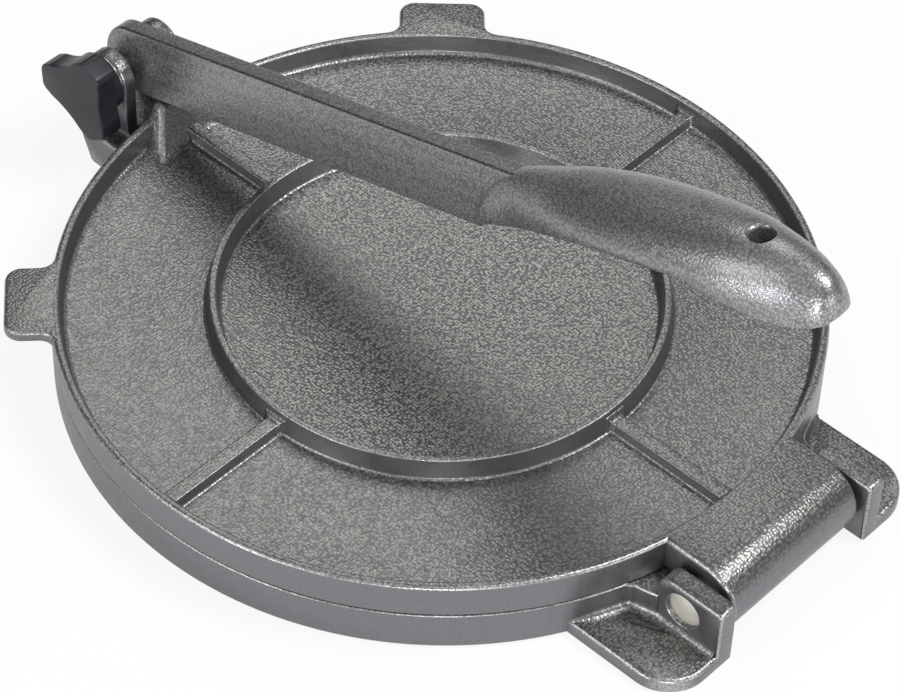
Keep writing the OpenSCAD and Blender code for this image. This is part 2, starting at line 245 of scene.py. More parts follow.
@dataclass
class Draft:
    """Closed shells in millimetres that together become one mesh."""

    points: list[np.ndarray] = field(default_factory=list)
    marks: list[np.ndarray] = field(default_factory=list)
    faces: list[tuple[int, ...]] = field(default_factory=list)
    count: int = 0

    def add(self, points: np.ndarray, faces: Faces, marks: np.ndarray | None = None) -> None:
        """Adds one shell.

        Args:
            points: Its vertices.
            faces: Its faces, as numbers of its own vertices.
            marks: Edge mark of each vertex.
        """
        self.points.append(np.asarray(points, float))
        self.marks.append(np.zeros(len(points)) if marks is None else np.asarray(marks, float))
        self.faces.extend(tuple(i + self.count for i in face) for face in faces)
        self.count += len(points)

    def grid(self, rows: Sequence[np.ndarray], marks: Sequence[np.ndarray], caps: bool = True) -> None:
        """Adds a shell through closed rows of equally many points.

        Args:
            rows: Rows of points, from one end to the other.
            marks: Edge marks of each row.
            caps: Whether a face closes each end. Without them the last row joins the first.
        """
        sides = len(rows[0])
        faces: list[tuple[int, ...]] = []
        for row in range(len(rows) if not caps else len(rows) - 1):
            faces += band(row * sides, (row + 1) % len(rows) * sides, sides)
        if caps:
            faces.append(tuple(range(sides - 1, -1, -1)))
            last = (len(rows) - 1) * sides
            faces.append(tuple(last + k for k in range(sides)))
        self.add(np.concatenate(rows), faces, np.concatenate(marks))

    def lathe(self, path: np.ndarray, turns: int, place: Place) -> None:
        """Adds a turned shell.

        Args:
            path: Rows of radius, height and edge mark, from axis to axis or closed in itself.
            turns: Vertices around the axis.
            place: Turns planar points and heights into space.
        """
        angles = np.arange(turns) * FULL / turns
        circle = np.stack([np.cos(angles), np.sin(angles)], axis=1)
        on_axis = path[0, 0] < 1e-6
        body = path[1:-1] if on_axis else path
        rows = [place(circle * r, np.full(turns, h)) for r, h, _ in body]
        marks = [np.full(turns, m) for _, _, m in body]
        if not on_axis:
            self.grid(rows, marks, caps=False)
            return
        faces: list[tuple[int, ...]] = []
        for row in range(len(rows) - 1):
            faces += band(row * turns, (row + 1) * turns, turns)
        first, last = len(rows) * turns, len(rows) * turns + 1
        top = (len(rows) - 1) * turns
        for k in range(turns):
            n = (k + 1) % turns
            faces.append((first, n, k))
            faces.append((last, top + k, top + n))
        ends = place(np.zeros((2, 2)), path[[0, -1], 1])
        self.add(np.concatenate([*rows, ends]), faces, np.concatenate([*marks, np.zeros(2)]))

    def slab(
        self,
        outline: np.ndarray,
        span: Pair,
        rounding: Pair,
        place: Place,
        steps: int = 4,
    ) -> None:
        """Adds a flat outline with thickness and rounded edges.

        Args:
            outline: Closed outline, with the edge mark of its own corners as a third column or without it.
            span: Where the thickness starts and ends.
            rounding: Radius of the edges at the start and at the end.
            place: Turns planar points and heights into space.
            steps: Pieces in each rounding.
        """
        flat = counter_clockwise(np.asarray(outline, float))
        own = flat[:, 2] if flat.shape[1] > 2 else np.zeros(len(flat))
        flat = flat[:, :2]
        rows: list[np.ndarray] = []
        marks: list[np.ndarray] = []
        for end, (level, radius) in enumerate(zip(span, rounding)):
            inward = 1 if end == 0 else -1
            order = range(steps + 1) if end == 0 else range(steps, -1, -1)
            for step in order if radius > 0 else [steps]:
                angle = QUARTER * step / steps
                height = level + inward * radius * (1 - math.cos(angle))
                points = inset(flat, radius * (1 - math.sin(angle)))
                rows.append(place(points, np.full(len(points), height)))
                marks.append(np.maximum(np.full(len(points), math.sin(2 * angle)), own))
        self.grid(rows, marks)

    def take(self, mesh: Mesh) -> None:
        """Adds what a finished mesh holds.

        Args:
            mesh: The mesh, in metres.
        """
        points = np.zeros(len(mesh.vertices) * 3)
        mesh.vertices.foreach_get("co", points)
        marks = np.zeros(len(mesh.vertices))
        layer = mesh.attributes.get(MARK)
        if layer is not None:
            layer.data.foreach_get("value", marks)
        self.add(points.reshape(-1, 3) / MM, [tuple(p.vertices) for p in mesh.polygons], marks)

    def build(self, name: str, sharp: float = 38.0) -> Object:
        """Makes the object.

        Args:
            name: The object's name.
            sharp: Bend in degrees from which an edge stays crisp.

        Returns:
            The object, at the origin, with faces that point outward.
        """
        mesh = bpy.data.meshes.new(name)
        mesh.from_pydata((np.concatenate(self.points) * MM).tolist(), [], self.faces)
        layer = mesh.attributes.new(MARK, "FLOAT", "POINT")
        layer.data.foreach_set("value", np.concatenate(self.marks).astype(np.float32))
        tidy_mesh(mesh, sharp)
        made = bpy.data.objects.new(name, mesh)
        bpy.context.scene.collection.objects.link(made)
        return made


def tidy_mesh(mesh: Mesh, sharp: float) -> None:
    """Points the faces outward, smooths them and keeps the sharp edges crisp.

    Args:
        mesh: The mesh.
        sharp: Bend in degrees from which an edge stays crisp.
    """
    work = bmesh.new()
    work.from_mesh(mesh)
    bmesh.ops.dissolve_degenerate(work, dist=1e-8, edges=work.edges)
    bmesh.ops.recalc_face_normals(work, faces=work.faces)
    limit = math.radians(sharp)
    for edge in work.edges:
        edge.smooth = edge.calc_face_angle(0.0) < limit
    for face in work.faces:
        face.smooth = True
    work.to_mesh(mesh)
    work.free()


def upright(points: np.ndarray, heights: np.ndarray) -> np.ndarray:
    """Planar points in X and Y, heights in Z."""
    return np.column_stack([points[:, 0], points[:, 1], heights])


def sideways(points: np.ndarray, heights: np.ndarray) -> np.ndarray:
    """Planar points in Y and Z, heights in X."""
    return np.column_stack([heights, points[:, 0], points[:, 1]])


def about(axis_y: float, axis_z: float) -> Place:
    """Placing of turned pieces round an axis along X.

    Args:
        axis_y: Place of the axis along Y.
        axis_z: Its height.

    Returns:
        What turns planar points round the axis, and heights along it, into space.
    """

    def place(points: np.ndarray, heights: np.ndarray) -> np.ndarray:
        """Planar points round the axis, heights along X."""
        return np.column_stack([heights, points[:, 0] + axis_y, points[:, 1] + axis_z])

    return place


def cut_away(target: Object, cutters: Sequence[Object]) -> Object:
    """Cuts the shapes of other objects out of an object, and removes them.

    Args:
        target: What is cut.
        cutters: What cuts it.

    Returns:
        The cut object.
    """
    for cutter in cutters:
        step = target.modifiers.new("cut", "BOOLEAN")
        step.operation = "DIFFERENCE"
        step.solver = "EXACT"
        step.object = cutter
    apply_modifiers(target)
    for cutter in cutters:
        bpy.data.objects.remove(cutter)
    return target


def apply_modifiers(target: Object) -> None:
    """Turns what the modifiers make into the object's own mesh.

    Args:
        target: The object.
    """
    graph = bpy.context.evaluated_depsgraph_get()
    mesh = bpy.data.meshes.new_from_object(target.evaluated_get(graph))
    target.modifiers.clear()
    target.data = mesh


def absorb(draft: Draft, made: Object) -> None:
    """Adds an object's mesh to a draft, and removes the object."""
    draft.take(made.data)
    bpy.data.objects.remove(made)


def bore_cutter(name: str, radius: float, reach: float, turns: int, place: Place) -> Object:
    """Cylinder that cuts a bore.

    Args:
        name: Its name.
        radius: Its radius.
        reach: How far it reaches to either side along its axis.
        turns: Vertices round it.
        place: Turns planar points and heights into space.

    Returns:
        The object.
    """
    draft = Draft()
    path = [(0, -reach, 0), (radius, -reach, 0), (radius, reach, 0), (0, reach, 0)]
    draft.lathe(np.array(path), turns, place)
    return draft.build(name)


# Repeated pieces


@dataclass
class TurnedCopies:
    """Copies of one piece, turned round the upright axis by a node tree.

    Attributes:
        name: Name of the tree.
        count: Number of copies.
        start: Angle of the first copy in degrees.
        spread: Angle from one copy to the next in degrees.
    """

    name: str
    count: int
    start: float
    spread: float

    def tree(self) -> NodeTree:
        """Builds the node tree.

        Returns:
            The tree, with named inputs for the number of copies, their angles and their finish.
        """
        tree = bpy.data.node_groups.new(self.name, "GeometryNodeTree")
        inputs = {"Piece": "Geometry", "Copies": "Int", "First angle": "Float"}
        inputs |= {"Angle between": "Float", "Finish": "Material"}
        for name, kind in inputs.items():
            tree.interface.new_socket(name, in_out="INPUT", socket_type="NodeSocket" + kind)
        tree.interface.new_socket("Geometry", in_out="OUTPUT", socket_type="NodeSocketGeometry")
        node = tree.nodes.new
        given = node("NodeGroupInput")
        points = node("GeometryNodePoints")
        number = node("GeometryNodeInputIndex")
        angle = node("ShaderNodeMath")
        angle.operation = "MULTIPLY_ADD"
        turn = node("ShaderNodeCombineXYZ")
        copies = node("GeometryNodeInstanceOnPoints")
        real = node("GeometryNodeRealizeInstances")
        dress_all = node("GeometryNodeSetMaterial")
        out = node("NodeGroupOutput")
        links = (
            (given, "Copies", points, "Count"),
            (number, "Index", angle, 0),
            (given, "Angle between", angle, 1),
            (given, "First angle", angle, 2),
            (angle, "Value", turn, "Z"),
            (points, "Points", copies, "Points"),
            (given, "Piece", copies, "Instance"),
            (turn, "Vector", copies, "Rotation"),
            (copies, "Instances", real, "Geometry"),
            (real, "Geometry", dress_all, "Geometry"),
            (given, "Finish", dress_all, "Material"),
            (dress_all, "Geometry", out, "Geometry"),
        )
        for start, output, end, socket in links:
            tree.links.new(start.outputs[output], end.inputs[socket])
        return tree

    def apply(self, piece: Object, finish: Material) -> Object:
        """Turns the piece into its copies.

        Args:
            piece: The piece at its first place.
            finish: Material of the copies.

        Returns:
            The same object, with all the copies in its mesh.
        """
        tree = self.tree()
        step = piece.modifiers.new(self.name, "NODES")
        step.node_group = tree
        values = {
            "Copies": self.count,
            "First angle": math.radians(self.start),
            "Angle between": math.radians(self.spread),
            "Finish": finish,
        }
        for socket in tree.interface.items_tree:
            if socket.in_out == "INPUT" and socket.name in values:
                step[socket.identifier] = values[socket.name]
        apply_modifiers(piece)
        return piece


# Finishes


class Nodes:
    """Short way to make and join the nodes of a tree."""

    def __init__(self, tree: NodeTree) -> None:
        """Clears a tree and gives it its coordinates.

        Args:
            tree: The tree.
        """
        self.tree = tree
        tree.nodes.clear()
        self.where = self.new("TexCoord")

    def new(self, kind: str, **settings: object) -> Node:
        """Makes a node.

        Args:
            kind: Its kind, without what all shader nodes start with.
            settings: Its settings.

        Returns:
            The node.
        """
        made = self.tree.nodes.new("ShaderNode" + kind)
        for name, value in settings.items():
            setattr(made, name, value)
        return made

    def join(self, start: Node, output: str | int, end: Node, socket: str | int) -> None:
        """Links an output to an input."""
        self.tree.links.new(start.outputs[output], end.inputs[socket])

    def fill(self, end: Node, values: dict[str | int, object]) -> Node:
        """Sets a node's inputs.

        Args:
            end: The node.
            values: The value of each input.

        Returns:
            The same node.
        """
        for socket, value in values.items():
            end.inputs[socket].default_value = value
        return end

    def noise(self, scale: float, detail: float, rough: float) -> Node:
        """Noise on Object coordinates.

        Args:
            scale: Its scale, as lumps to a metre.
            detail: Its detail.
            rough: Its roughness.

        Returns:
            The node.
        """
        made = self.fill(self.new("TexNoise"), {"Scale": scale, "Detail": detail, "Roughness": rough})
        self.join(self.where, "Object", made, "Vector")
        return made

    def cells(self, scale: float) -> Node:
        """Round-bellied cell pattern on Object coordinates.

        Args:
            scale: Its scale, as cells to a metre.

        Returns:
            The node, with the distance from the cells' middles in the output Distance.
        """
        made = self.new("TexVoronoi", feature="SMOOTH_F1")
        self.fill(made, {"Scale": scale, "Smoothness": 0.3, "Randomness": 0.7})
        self.join(self.where, "Object", made, "Vector")
        return made

    def mirrored(self, seen: Node) -> Node:
        """Whether a ray comes from gloss or through glass.

        Args:
            seen: The tree's light path node.

        Returns:
            The node that gives 1 for such a ray and 0 for others.
        """
        made = self.math("MAXIMUM", seen, "Is Glossy Ray", 0.0)
        self.join(seen, "Is Transmission Ray", made, 1)
        return made

    def edge_mark(self) -> Node:
        """The mesh's edge mark, in the output Fac."""
        return self.new("Attribute", attribute_name=MARK)

    def upward(self) -> Node:
        """How level a face lies.

        Returns:
            The node that gives 0 for an upright face and 1 for a flat one.
        """
        parts = self.new("SeparateXYZ")
        self.join(self.where, "Normal", parts, 0)
        return self.math("ABSOLUTE", parts, "Z", 0.0)

    def from_axis(self) -> Node:
        """Distance from the plates' upright axis in metres.

        Returns:
            The node, with the distance in the output Value.
        """
        flat = self.fill(self.new("VectorMath", operation="MULTIPLY"), {1: (1.0, 1.0, 0.0)})
        self.join(self.where, "Object", flat, 0)
        away = self.new("VectorMath", operation="LENGTH")
        self.join(flat, 0, away, 0)
        return away

    def span(
        self,
        source: Node,
        output: str | int,
        low: float,
        high: float,
        to: Pair,
        smooth: bool = False,
    ) -> Node:
        """Maps a range of values onto another.

        Args:
            source: Where the value comes from.
            output: Which output of it.
            low: Start of the range.
            high: End of the range.
            to: What the start and the end become.
            smooth: Whether the way between them eases in and out.

        Returns:
            The node.
        """
        made = self.new("MapRange", interpolation_type="SMOOTHSTEP" if smooth else "LINEAR")
        self.fill(made, {"From Min": low, "From Max": high, "To Min": to[0], "To Max": to[1]})
        self.join(source, output, made, "Value")
        return made

    def math(self, kind: str, first: Node, output: str | int, second: Node | float) -> Node:
        """Sum, product or other arithmetic of two values.

        Args:
            kind: The arithmetic.
            first: Where the first value comes from.
            output: Which output of it.
            second: A number, or a node whose first output is the second value.

        Returns:
            The node.
        """
        made = self.new("Math", operation=kind)
        self.join(first, output, made, 0)
        if isinstance(second, Node):
            self.join(second, 0, made, 1)
        else:
            made.inputs[1].default_value = second
        return made

    def blend(self, factor: Node, output: str | int, first: Node | Triple, second: Node | Triple) -> Node:
        """Blends two colours, each a colour or another blend.

        Args:
            factor: Where the share of the second colour comes from.
            output: Which output of it.
            first: The first colour.
            second: The second colour.

        Returns:
            The node.
        """
        made = self.new("Mix", data_type="RGBA")
        self.join(factor, output, made, 0)
        for socket, value in ((6, first), (7, second)):
            if isinstance(value, Node):
                self.join(value, 2, made, socket)
            else:
                made.inputs[socket].default_value = (*value, 1.0)
        return made

    def bump(self, source: Node, output: str | int, depth: float, strength: float) -> Node:
        """Relief from a height.

        Args:
            source: Where the height comes from.
            output: Which output of it.
            depth: Depth of the relief in metres.
            strength: Its strength.

        Returns:
            The node.
        """
        made = self.fill(self.new("Bump"), {"Strength": strength, "Distance": depth})
        self.join(source, output, made, "Height")
        return made


class SurfaceNodes(Nodes):
    """Nodes of a new material with one principled shader."""

    def __init__(self, name: str, values: dict[str | int, object]) -> None:
        """Makes the material.

        Args:
            name: Its name.
            values: What the shader's own inputs are set to.
        """
        self.material = bpy.data.materials.new(name)
        self.material.use_nodes = True
        super().__init__(self.material.node_tree)
        self.output = self.new("OutputMaterial")
        self.shader = self.new("BsdfPrincipled")
        self.join(self.shader, "BSDF", self.output, "Surface")
        self.fill(self.shader, values)

    def dress(self, colour: Node, rough: Node, relief: Node | None = None) -> Material:
        """Joins colour, roughness and relief to the shader.

        Args:
            colour: The blend that gives the colour.
            rough: The node whose first output is the roughness.
            relief: The bump node, if the surface has relief.

        Returns:
            The material.
        """
        self.join(colour, 2, self.shader, "Base Color")
        self.join(rough, 0, self.shader, "Roughness")
        if relief is not None:
            self.join(relief, "Normal", self.shader, "Normal")
        return self.material


def dimmed(colour: Triple, share: float) -> Triple:
    """A colour at a share of its strength."""
    return colour[0] * share, colour[1] * share, colour[2] * share


@dataclass(frozen=True)
class CastCoat:
    """Fine hammered metal coat of the castings.

    Attributes:
        name: The material's name.
        dark: Colour of the coat's low spots.
        light: Colour of its flecks.
        edge_wear_and_reflection: Colour along marked edges and hollow fillets, partly wear and partly painted
            light: pale glints on the castings, a dark reflection line on the lever.
        grain_scale: Size of the hammered grain, as grains to a metre.
        relief: Depth of the grain in metres.
        metal: Share of metallic shading.
        roughness: Lowest and highest roughness.
        outside: Strength of the grain outside the ring, as a share of that inside it. The relief there is
            weaker, and so is the colour grain, a painted stand-in for softer glints outside the ring.
        walls: Strength of the grain on upright walls, as a share of that on level faces. The relief is weaker
            there, and the flatter colour is painted shade for walls that mirror only dark surroundings; what
            the share leaves sets how far the painted wall tint reaches.
        level: Share of the light colour inside and outside the ring: a painted lighter tone inside the ring
            and painted shade outside it.
        painted_wall_tint: Painted tint that upright walls tend to, a bluish shade standing for the colour of
            the side light; it covers what the grain's share leaves there.
        ring_edge: Distances from the axis between which the coat changes, in metres, from the painted light
            inside the ring to the painted shade and weaker grain outside it.
    """

    name: str
    dark: Triple
    light: Triple
    edge_wear_and_reflection: Triple
    grain_scale: float = 1150.0
    relief: float = 0.00009
    metal: float = 0.85
    roughness: Pair = (0.3, 0.38)
    outside: float = 0.62
    walls: float = 0.35
    level: Pair = (0.56, 0.42)
    painted_wall_tint: Triple = (0.2, 0.197, 0.222)
    ring_edge: Pair = (0.0585, 0.06)

    def amount(self, n: Nodes, upward: Node, away: Node) -> Node:
        """Strength of the grain: full inside the ring, weaker round it and weakest on upright walls. The
        relief follows it, and the weaker colour grain stands for painted shade and softer painted glints.

        Args:
            n: The material's nodes.
            upward: How level a face lies.
            away: Distance from the axis.

        Returns:
            The node that gives it.
        """
        level = n.span(upward, 0, 0.3, 0.85, (self.walls, 1.0))
        ring = n.span(away, "Value", *self.ring_edge, (1.0, self.outside))
        return n.math("MULTIPLY", level, 0, ring)

    def material(self) -> Material:
        """Builds the coat.

        Returns:
            The material.
        """
        n = SurfaceNodes(self.name, {"Metallic": self.metal})
        dots = n.cells(self.grain_scale)
        grain = n.noise(self.grain_scale * 1.5, 1.0, 0.5)
        swell = n.noise(self.grain_scale * 0.3, 2.0, 0.5)
        cloud = n.noise(16.0, 4.0, 0.6)
        peak = n.span(dots, "Distance", 0.1, 0.8, (0.75, 0.0))
        lumps = n.math("ADD", n.math("MULTIPLY", grain, "Fac", 0.5), 0, peak)
        height = n.span(lumps, 0, 0.35, 0.95, (-0.5, 0.5))
        away = n.from_axis()
        upward = n.upward()
        spread = n.math("MULTIPLY", height, 0, self.amount(n, upward, away))
        # Painted light and shade: the coat is lighter inside the ring and darker outside it, on top of the
        # grain.
        fleck = n.math("ADD", spread, 0, n.span(away, "Value", *self.ring_edge, self.level))
        body = n.blend(fleck, 0, self.dark, self.light)
        middle = tuple(0.55 * a + 0.45 * b for a, b in zip(self.dark, self.light))
        drift = n.span(cloud, "Fac", 0.45, 0.75, (0.0, 0.4))
        # Painted shade: upright walls tend to a flatter bluish tint that stands for the side light's colour.
        painted_wall_tint = n.span(upward, 0, 0.2, 0.8, (1.0 - self.walls, 0.0))
        tone = n.blend(painted_wall_tint, 0, n.blend(drift, 0, body, middle), self.painted_wall_tint)
        # Edge marks: wear, with painted light on top of it: pale glints on the castings, a dark reflection
        # line on the lever.
        wear_and_reflection_share = n.math("MULTIPLY", n.edge_mark(), "Fac", grain)
        colour = n.blend(n.span(wear_and_reflection_share, "Value", 0.22, 0.6, (0.0, 0.85)), 0, tone, self.edge_wear_and_reflection)
        rough = n.span(swell, "Fac", 0.35, 0.65, self.roughness)
        return n.dress(colour, rough, n.bump(spread, 0, self.relief, 1.0))


@dataclass(frozen=True)
class BrightSteel:
    """Turned or rolled plain steel with faint tool marks."""

    name: str = "bright_steel"
    colour: Triple = (0.72, 0.72, 0.73)

    def material(self) -> Material:
        """Builds the steel.

        Returns:
            The material.
        """
        n = SurfaceNodes(self.name, {"Metallic": 1.0})
        marks = n.noise(900.0, 3.0, 0.6)
        stain = n.noise(160.0, 3.0, 0.6)
        tone = n.span(stain, "Fac", 0.3, 0.75, (0.0, 0.35))
        colour = n.blend(tone, 0, self.colour, dimmed(self.colour, 0.55))
        rough = n.span(stain, "Fac", 0.3, 0.7, (0.2, 0.34))
        return n.dress(colour, rough, n.bump(marks, "Fac", 0.0001, 0.25))


@dataclass(frozen=True)
class PlatedSteel:
    """Pale satin plating of the hinge pin."""

    name: str = "plated_steel"
    colour: Triple = (0.62, 0.6, 0.54)

    def material(self) -> Material:
        """Builds the plating.

        Returns:
            The material.
        """
        n = SurfaceNodes(self.name, {"Metallic": 0.35})
        marks = n.noise(1400.0, 2.0, 0.5)
        stain = n.noise(420.0, 3.0, 0.6)
        tone = n.span(stain, "Fac", 0.5, 0.8, (0.0, 0.4))
        colour = n.blend(tone, 0, self.colour, dimmed(self.colour, 0.6))
        rough = n.span(marks, "Fac", 0.3, 0.7, (0.28, 0.4))
        return n.dress(colour, rough, n.bump(marks, "Fac", 0.00005, 0.3))


@dataclass(frozen=True)
class MouldedPlastic:
    """Satin moulded plastic with a fine grain, a little paler and bluer along its edges, partly wear and
    partly a painted sheen.
    """

    name: str = "moulded_plastic"
    colour: Triple = (0.01, 0.01, 0.015)
    sheen: Triple = (0.035, 0.035, 0.045)

    def material(self) -> Material:
        """Builds the plastic.

        Returns:
            The material.
        """
        n = SurfaceNodes(self.name, {"Specular IOR Level": 0.4})
        grain = n.noise(1500.0, 2.0, 0.55)
        haze = n.noise(70.0, 2.0, 0.5)
        # Edges: wear, and a painted bluish sheen.
        wear_and_reflection_share = n.math("MULTIPLY", n.edge_mark(), "Fac", haze)
        colour = n.blend(wear_and_reflection_share, 0, self.colour, self.sheen)
        rough = n.span(haze, "Fac", 0.3, 0.7, (0.32, 0.44))
        return n.dress(colour, rough, n.bump(grain, "Fac", 0.00015, 0.3))


@dataclass(frozen=True)
class TurnedBrass:
    """Turned brass of the knob's insert."""

    name: str = "turned_brass"
    colour: Triple = (0.62, 0.44, 0.18)

    def material(self) -> Material:
        """Builds the brass.

        Returns:
            The material.
        """
        n = SurfaceNodes(self.name, {"Metallic": 1.0})
        marks = n.noise(800.0, 2.0, 0.5)
        colour = n.blend(marks, "Fac", self.colour, dimmed(self.colour, 0.7))
        return n.dress(colour, n.span(marks, "Fac", 0.3, 0.7, (0.25, 0.38)))


# The castings


@dataclass
class Plates:
    """Sizes that the two plates share, in millimetres."""

    radius: float = 102.5
    base_h: float = 12.2
    lid_z: float = 12.6
    top_z: float = 22.8
    floor_z: float = 16.6
    rim_r: float = 100.2
    pin_y: float = 112.0
    pin_z: float = 12.4
    pin_r: float = 4.5
    run_fit: float = 0.06
    ear_x: float = 26.0
    ear_t: float = 6.0
    bolt_y: float = -116.5
    bolt_z: float = 30.0
    bolt_r: float = 3.0
    turns: int = 256

    @property
    def pin_bore(self) -> float:
        """Radius of the pin's bores."""
        return self.pin_r + self.run_fit

    @property
    def bolt_bore(self) -> float:
        """Radius of the bolt's bores."""
        return self.bolt_r + self.run_fit

    def round_pin(self) -> Place:
        """Placing round the hinge pin."""
        return about(self.pin_y, self.pin_z)

    def round_bolt(self) -> Place:
        """Placing round the lever's bolt."""
        return about(self.bolt_y, self.bolt_z)


@dataclass
class Lid:
    """The upper casting: dish with ring and ribs, two finger tabs, press pad and hinge barrel.

    Sizes are in millimetres and angles in degrees. Names that end in _r are radii, in _h heights, in _w
    widths and in _t thicknesses, and half means half a width.
    """

    plates: Plates
    ring_in: float = 59.1
    ring_out: float = 60.9
    slope: float = 1.0
    foot_r: float = 0.9
    foot_glint_share: float = 0.7
    foot_glint_h: float = 1.6
    hollow_r: float = 1.6
    rib_h: float = 3.0
    rib_half: float = 2.0
    rib_foot: float = 2.5
    tab_w: float = 24.3
    tab_out: float = 11.8
    tab_t: float = 3.4
    tab_r: float = 4.5
    tab_root_r: float = 4.0
    tab_angle: float = 47.0
    pad_z: float = 26.7
    pad_half: float = 6.5
    pad_depth: float = 3.0
    pad_lean: float = 35.0
    pad_soft: float = 0.9
    barrel_half: float = 24.4
    barrel_r: float = 10.4

    def dish(self, draft: Draft) -> None:
        """Adds the turned dish with its rim and ring.

        Args:
            draft: What it is added to.
        """
        p = self.plates
        path = corner_path(
            [
                (0, p.lid_z, 0),
                (p.radius, p.lid_z, 0.4),
                (p.radius, p.top_z, 1.1),
                (p.rim_r, p.top_z, 0.7),
                (p.rim_r - self.slope, p.floor_z, 1.5),
                (self.ring_out + self.slope, p.floor_z, self.foot_r),
                (self.ring_out, p.top_z, 0.5),
                (self.ring_in, p.top_z, 0.5),
                (self.ring_in - self.slope, p.floor_z, self.foot_r),
                (0, p.floor_z, 0),
            ],
            closed=False,
        )
        # Marks low on the dish, mostly on the hollow fillets at the floor, kept at a share: a painted glint
        # along the fillets.
        path[path[:, 1] < p.floor_z + self.foot_glint_h, 2] *= self.foot_glint_share
        draft.lathe(path, p.turns, upright)

    def rib(self) -> Draft:
        """One rib along +X from the ring to the rim, with hollow fillets at its foot and at both ends.

        Returns:
            Its shell.
        """
        p = self.plates
        draft = Draft()
        reach, sunk, under = self.rib_foot + 2.0, -0.02, -0.6
        corners = [
            (-reach, sunk, 0),
            (-self.rib_foot, 0.0, self.foot_r),
            (-self.rib_half, self.rib_h, 0.5),
            (self.rib_half, self.rib_h, 0.5),
            (self.rib_foot, 0.0, self.foot_r),
            (reach, sunk, 0),
            (reach, under, 0),
            (-reach, under, 0),
        ]
        section = corner_path(corners, closed=True, steps=5)
        rise = p.top_z - p.floor_z
        height = section[:, 1]
        lean = self.slope * (1 - np.clip(height, 0, rise) / rise)
        near_ring = self.ring_out + lean
        near_rim = p.rim_r - lean
        start, end = self.ring_out - 0.8, p.rim_r + 0.6
        fine, ending = 22, 7.0
        first = np.linspace(start, start + ending, fine)
        last = np.linspace(end - ending, end, fine)
        places = np.unique(np.concatenate([first, np.linspace(start + ending, end - ending, 8), last]))
        rows, marks = [], []
        for place in places:
            grow = flare(place - near_ring, self.hollow_r) + flare(near_rim - place, self.hollow_r)
            lift = np.where(height > 0.01, np.clip(height / self.rib_h, 0, 1) * grow, 0.0)
            wide = np.sign(section[:, 0]) * np.where(height > -0.1, grow, 0.0)
            rows.append(along_x(place, np.column_stack([section[:, 0] + wide, p.floor_z + height + lift])))
            # Marks: wear and a painted glint along the top edges, a fainter painted glint along the hollow
            # fillets at the foot.
            marks.append(section[:, 2] * np.where(height > 0.9, 0.6, 0.15))
        draft.grid(rows, marks)
        return draft

    def tab(self) -> Draft:
        """One finger tab toward -Y, with hollow corners at its root.

        Returns:
            Its shell.
        """
        p = self.plates
        draft = Draft()
        half = self.tab_w / 2
        root_x = half + self.tab_root_r
        root_y = math.sqrt((p.radius + self.tab_root_r) ** 2 - root_x**2)
        share = p.radius / (p.radius + self.tab_root_r)
        touch = math.degrees(math.atan2(root_y * share - root_y, root_x * share - root_x))
        reach = p.radius + self.tab_out
        right = [(x, -y) for x, y in arc((root_x, root_y), self.tab_root_r, touch % 360, 180, 9)]
        right += arc((half - self.tab_r, self.tab_r - reach), self.tab_r, 0, -90, 10)
        inner = p.rim_r + 0.2
        swing = math.asin((root_x * share - 1.0) / inner)
        root = [(inner * math.sin(a), -inner * math.cos(a)) for a in np.linspace(-swing, swing, 13)]
        outline = np.array(right + [(-x, y) for x, y in reversed(right)] + root)
        draft.slab(outline, (p.top_z - self.tab_t, p.top_z - 0.01), (0.8, 1.0), upright)
        return draft

    def pad(self, draft: Draft) -> None:
        """Adds the press pad that the lever bears on.

        Args:
            draft: What it is added to.
        """
        p = self.plates
        back = 0.5 - p.radius
        top, soft = self.pad_z, self.pad_soft
        lean = math.tan(math.radians(self.pad_lean))
        foot = np.linspace(p.floor_z - 0.4, p.floor_z + 2.2, 12)
        levels = [*foot, *np.linspace(p.floor_z + 3, top - soft, 8)]
        levels += [top - soft * (1 - math.sin(math.radians(a))) for a in range(15, 91, 15)]
        steps = 7
        rows, marks = [], []
        for level in levels:
            left = max(0.0, soft - (top - level))
            shrink = soft - math.sqrt(max(0.0, soft**2 - left**2))
            spread = (top - level) * lean + float(flare(np.array(level - p.floor_z), self.hollow_r)) - shrink
            half = self.pad_half + spread
            front = back + self.pad_depth + spread
            rear = back + 0.3 * shrink
            radius = min(1.5, half - 0.5, front - back - 0.4)
            corners = [(-half, rear, 0.3), (half, rear, 0.3), (half, front, radius), (-half, front, radius)]
            path = corner_path(corners, closed=True, steps=steps)
            path[: 2 * (steps + 1), 2] = 0
            rows.append(np.column_stack([path[:, :2], np.full(len(path), level)]))
            near_top = 1.0 if left > 0 else 0.0
            # Marks on the front corners and the top's rounding: wear, with a painted glint.
            marks.append(np.maximum(path[:, 2] * 0.9, near_top * 0.7))
        draft.grid(rows, marks)

    def barrel(self) -> Object:
        """The hinge barrel and its web, with the pin's bore cut through and the dish kept free.

        Returns:
            Its object.
        """
        p = self.plates
        draft = Draft()
        web_y = p.radius - 6.5
        under, top = p.lid_z + 0.01, p.top_z - 0.01
        low_y = p.pin_y - math.sqrt(self.barrel_r**2 - 0.04)
        round_part = arc((p.pin_y, p.pin_z), self.barrel_r - 0.005, 90, -181.1, 64)
        outline = [(web_y, under), (web_y, top), (web_y + 6, top), *round_part, (low_y - 2.0, under)]
        draft.slab(np.array(outline), (-self.barrel_half, self.barrel_half), (1.3, 1.3), sideways, steps=6)
        made = draft.build("barrel")
        cut_away(made, [bore_cutter("barrel_bore", p.pin_bore, self.barrel_half + 2, 48, p.round_pin())])
        inner = Draft()
        low, high = p.floor_z - 1, p.top_z + 0.05
        path = [(0, low, 0), (p.rim_r - 0.1, low, 0), (p.rim_r + 0.9, high, 0), (0, high, 0)]
        inner.lathe(np.array(path), p.turns, upright)
        return cut_away(made, [inner.build("hollow")])

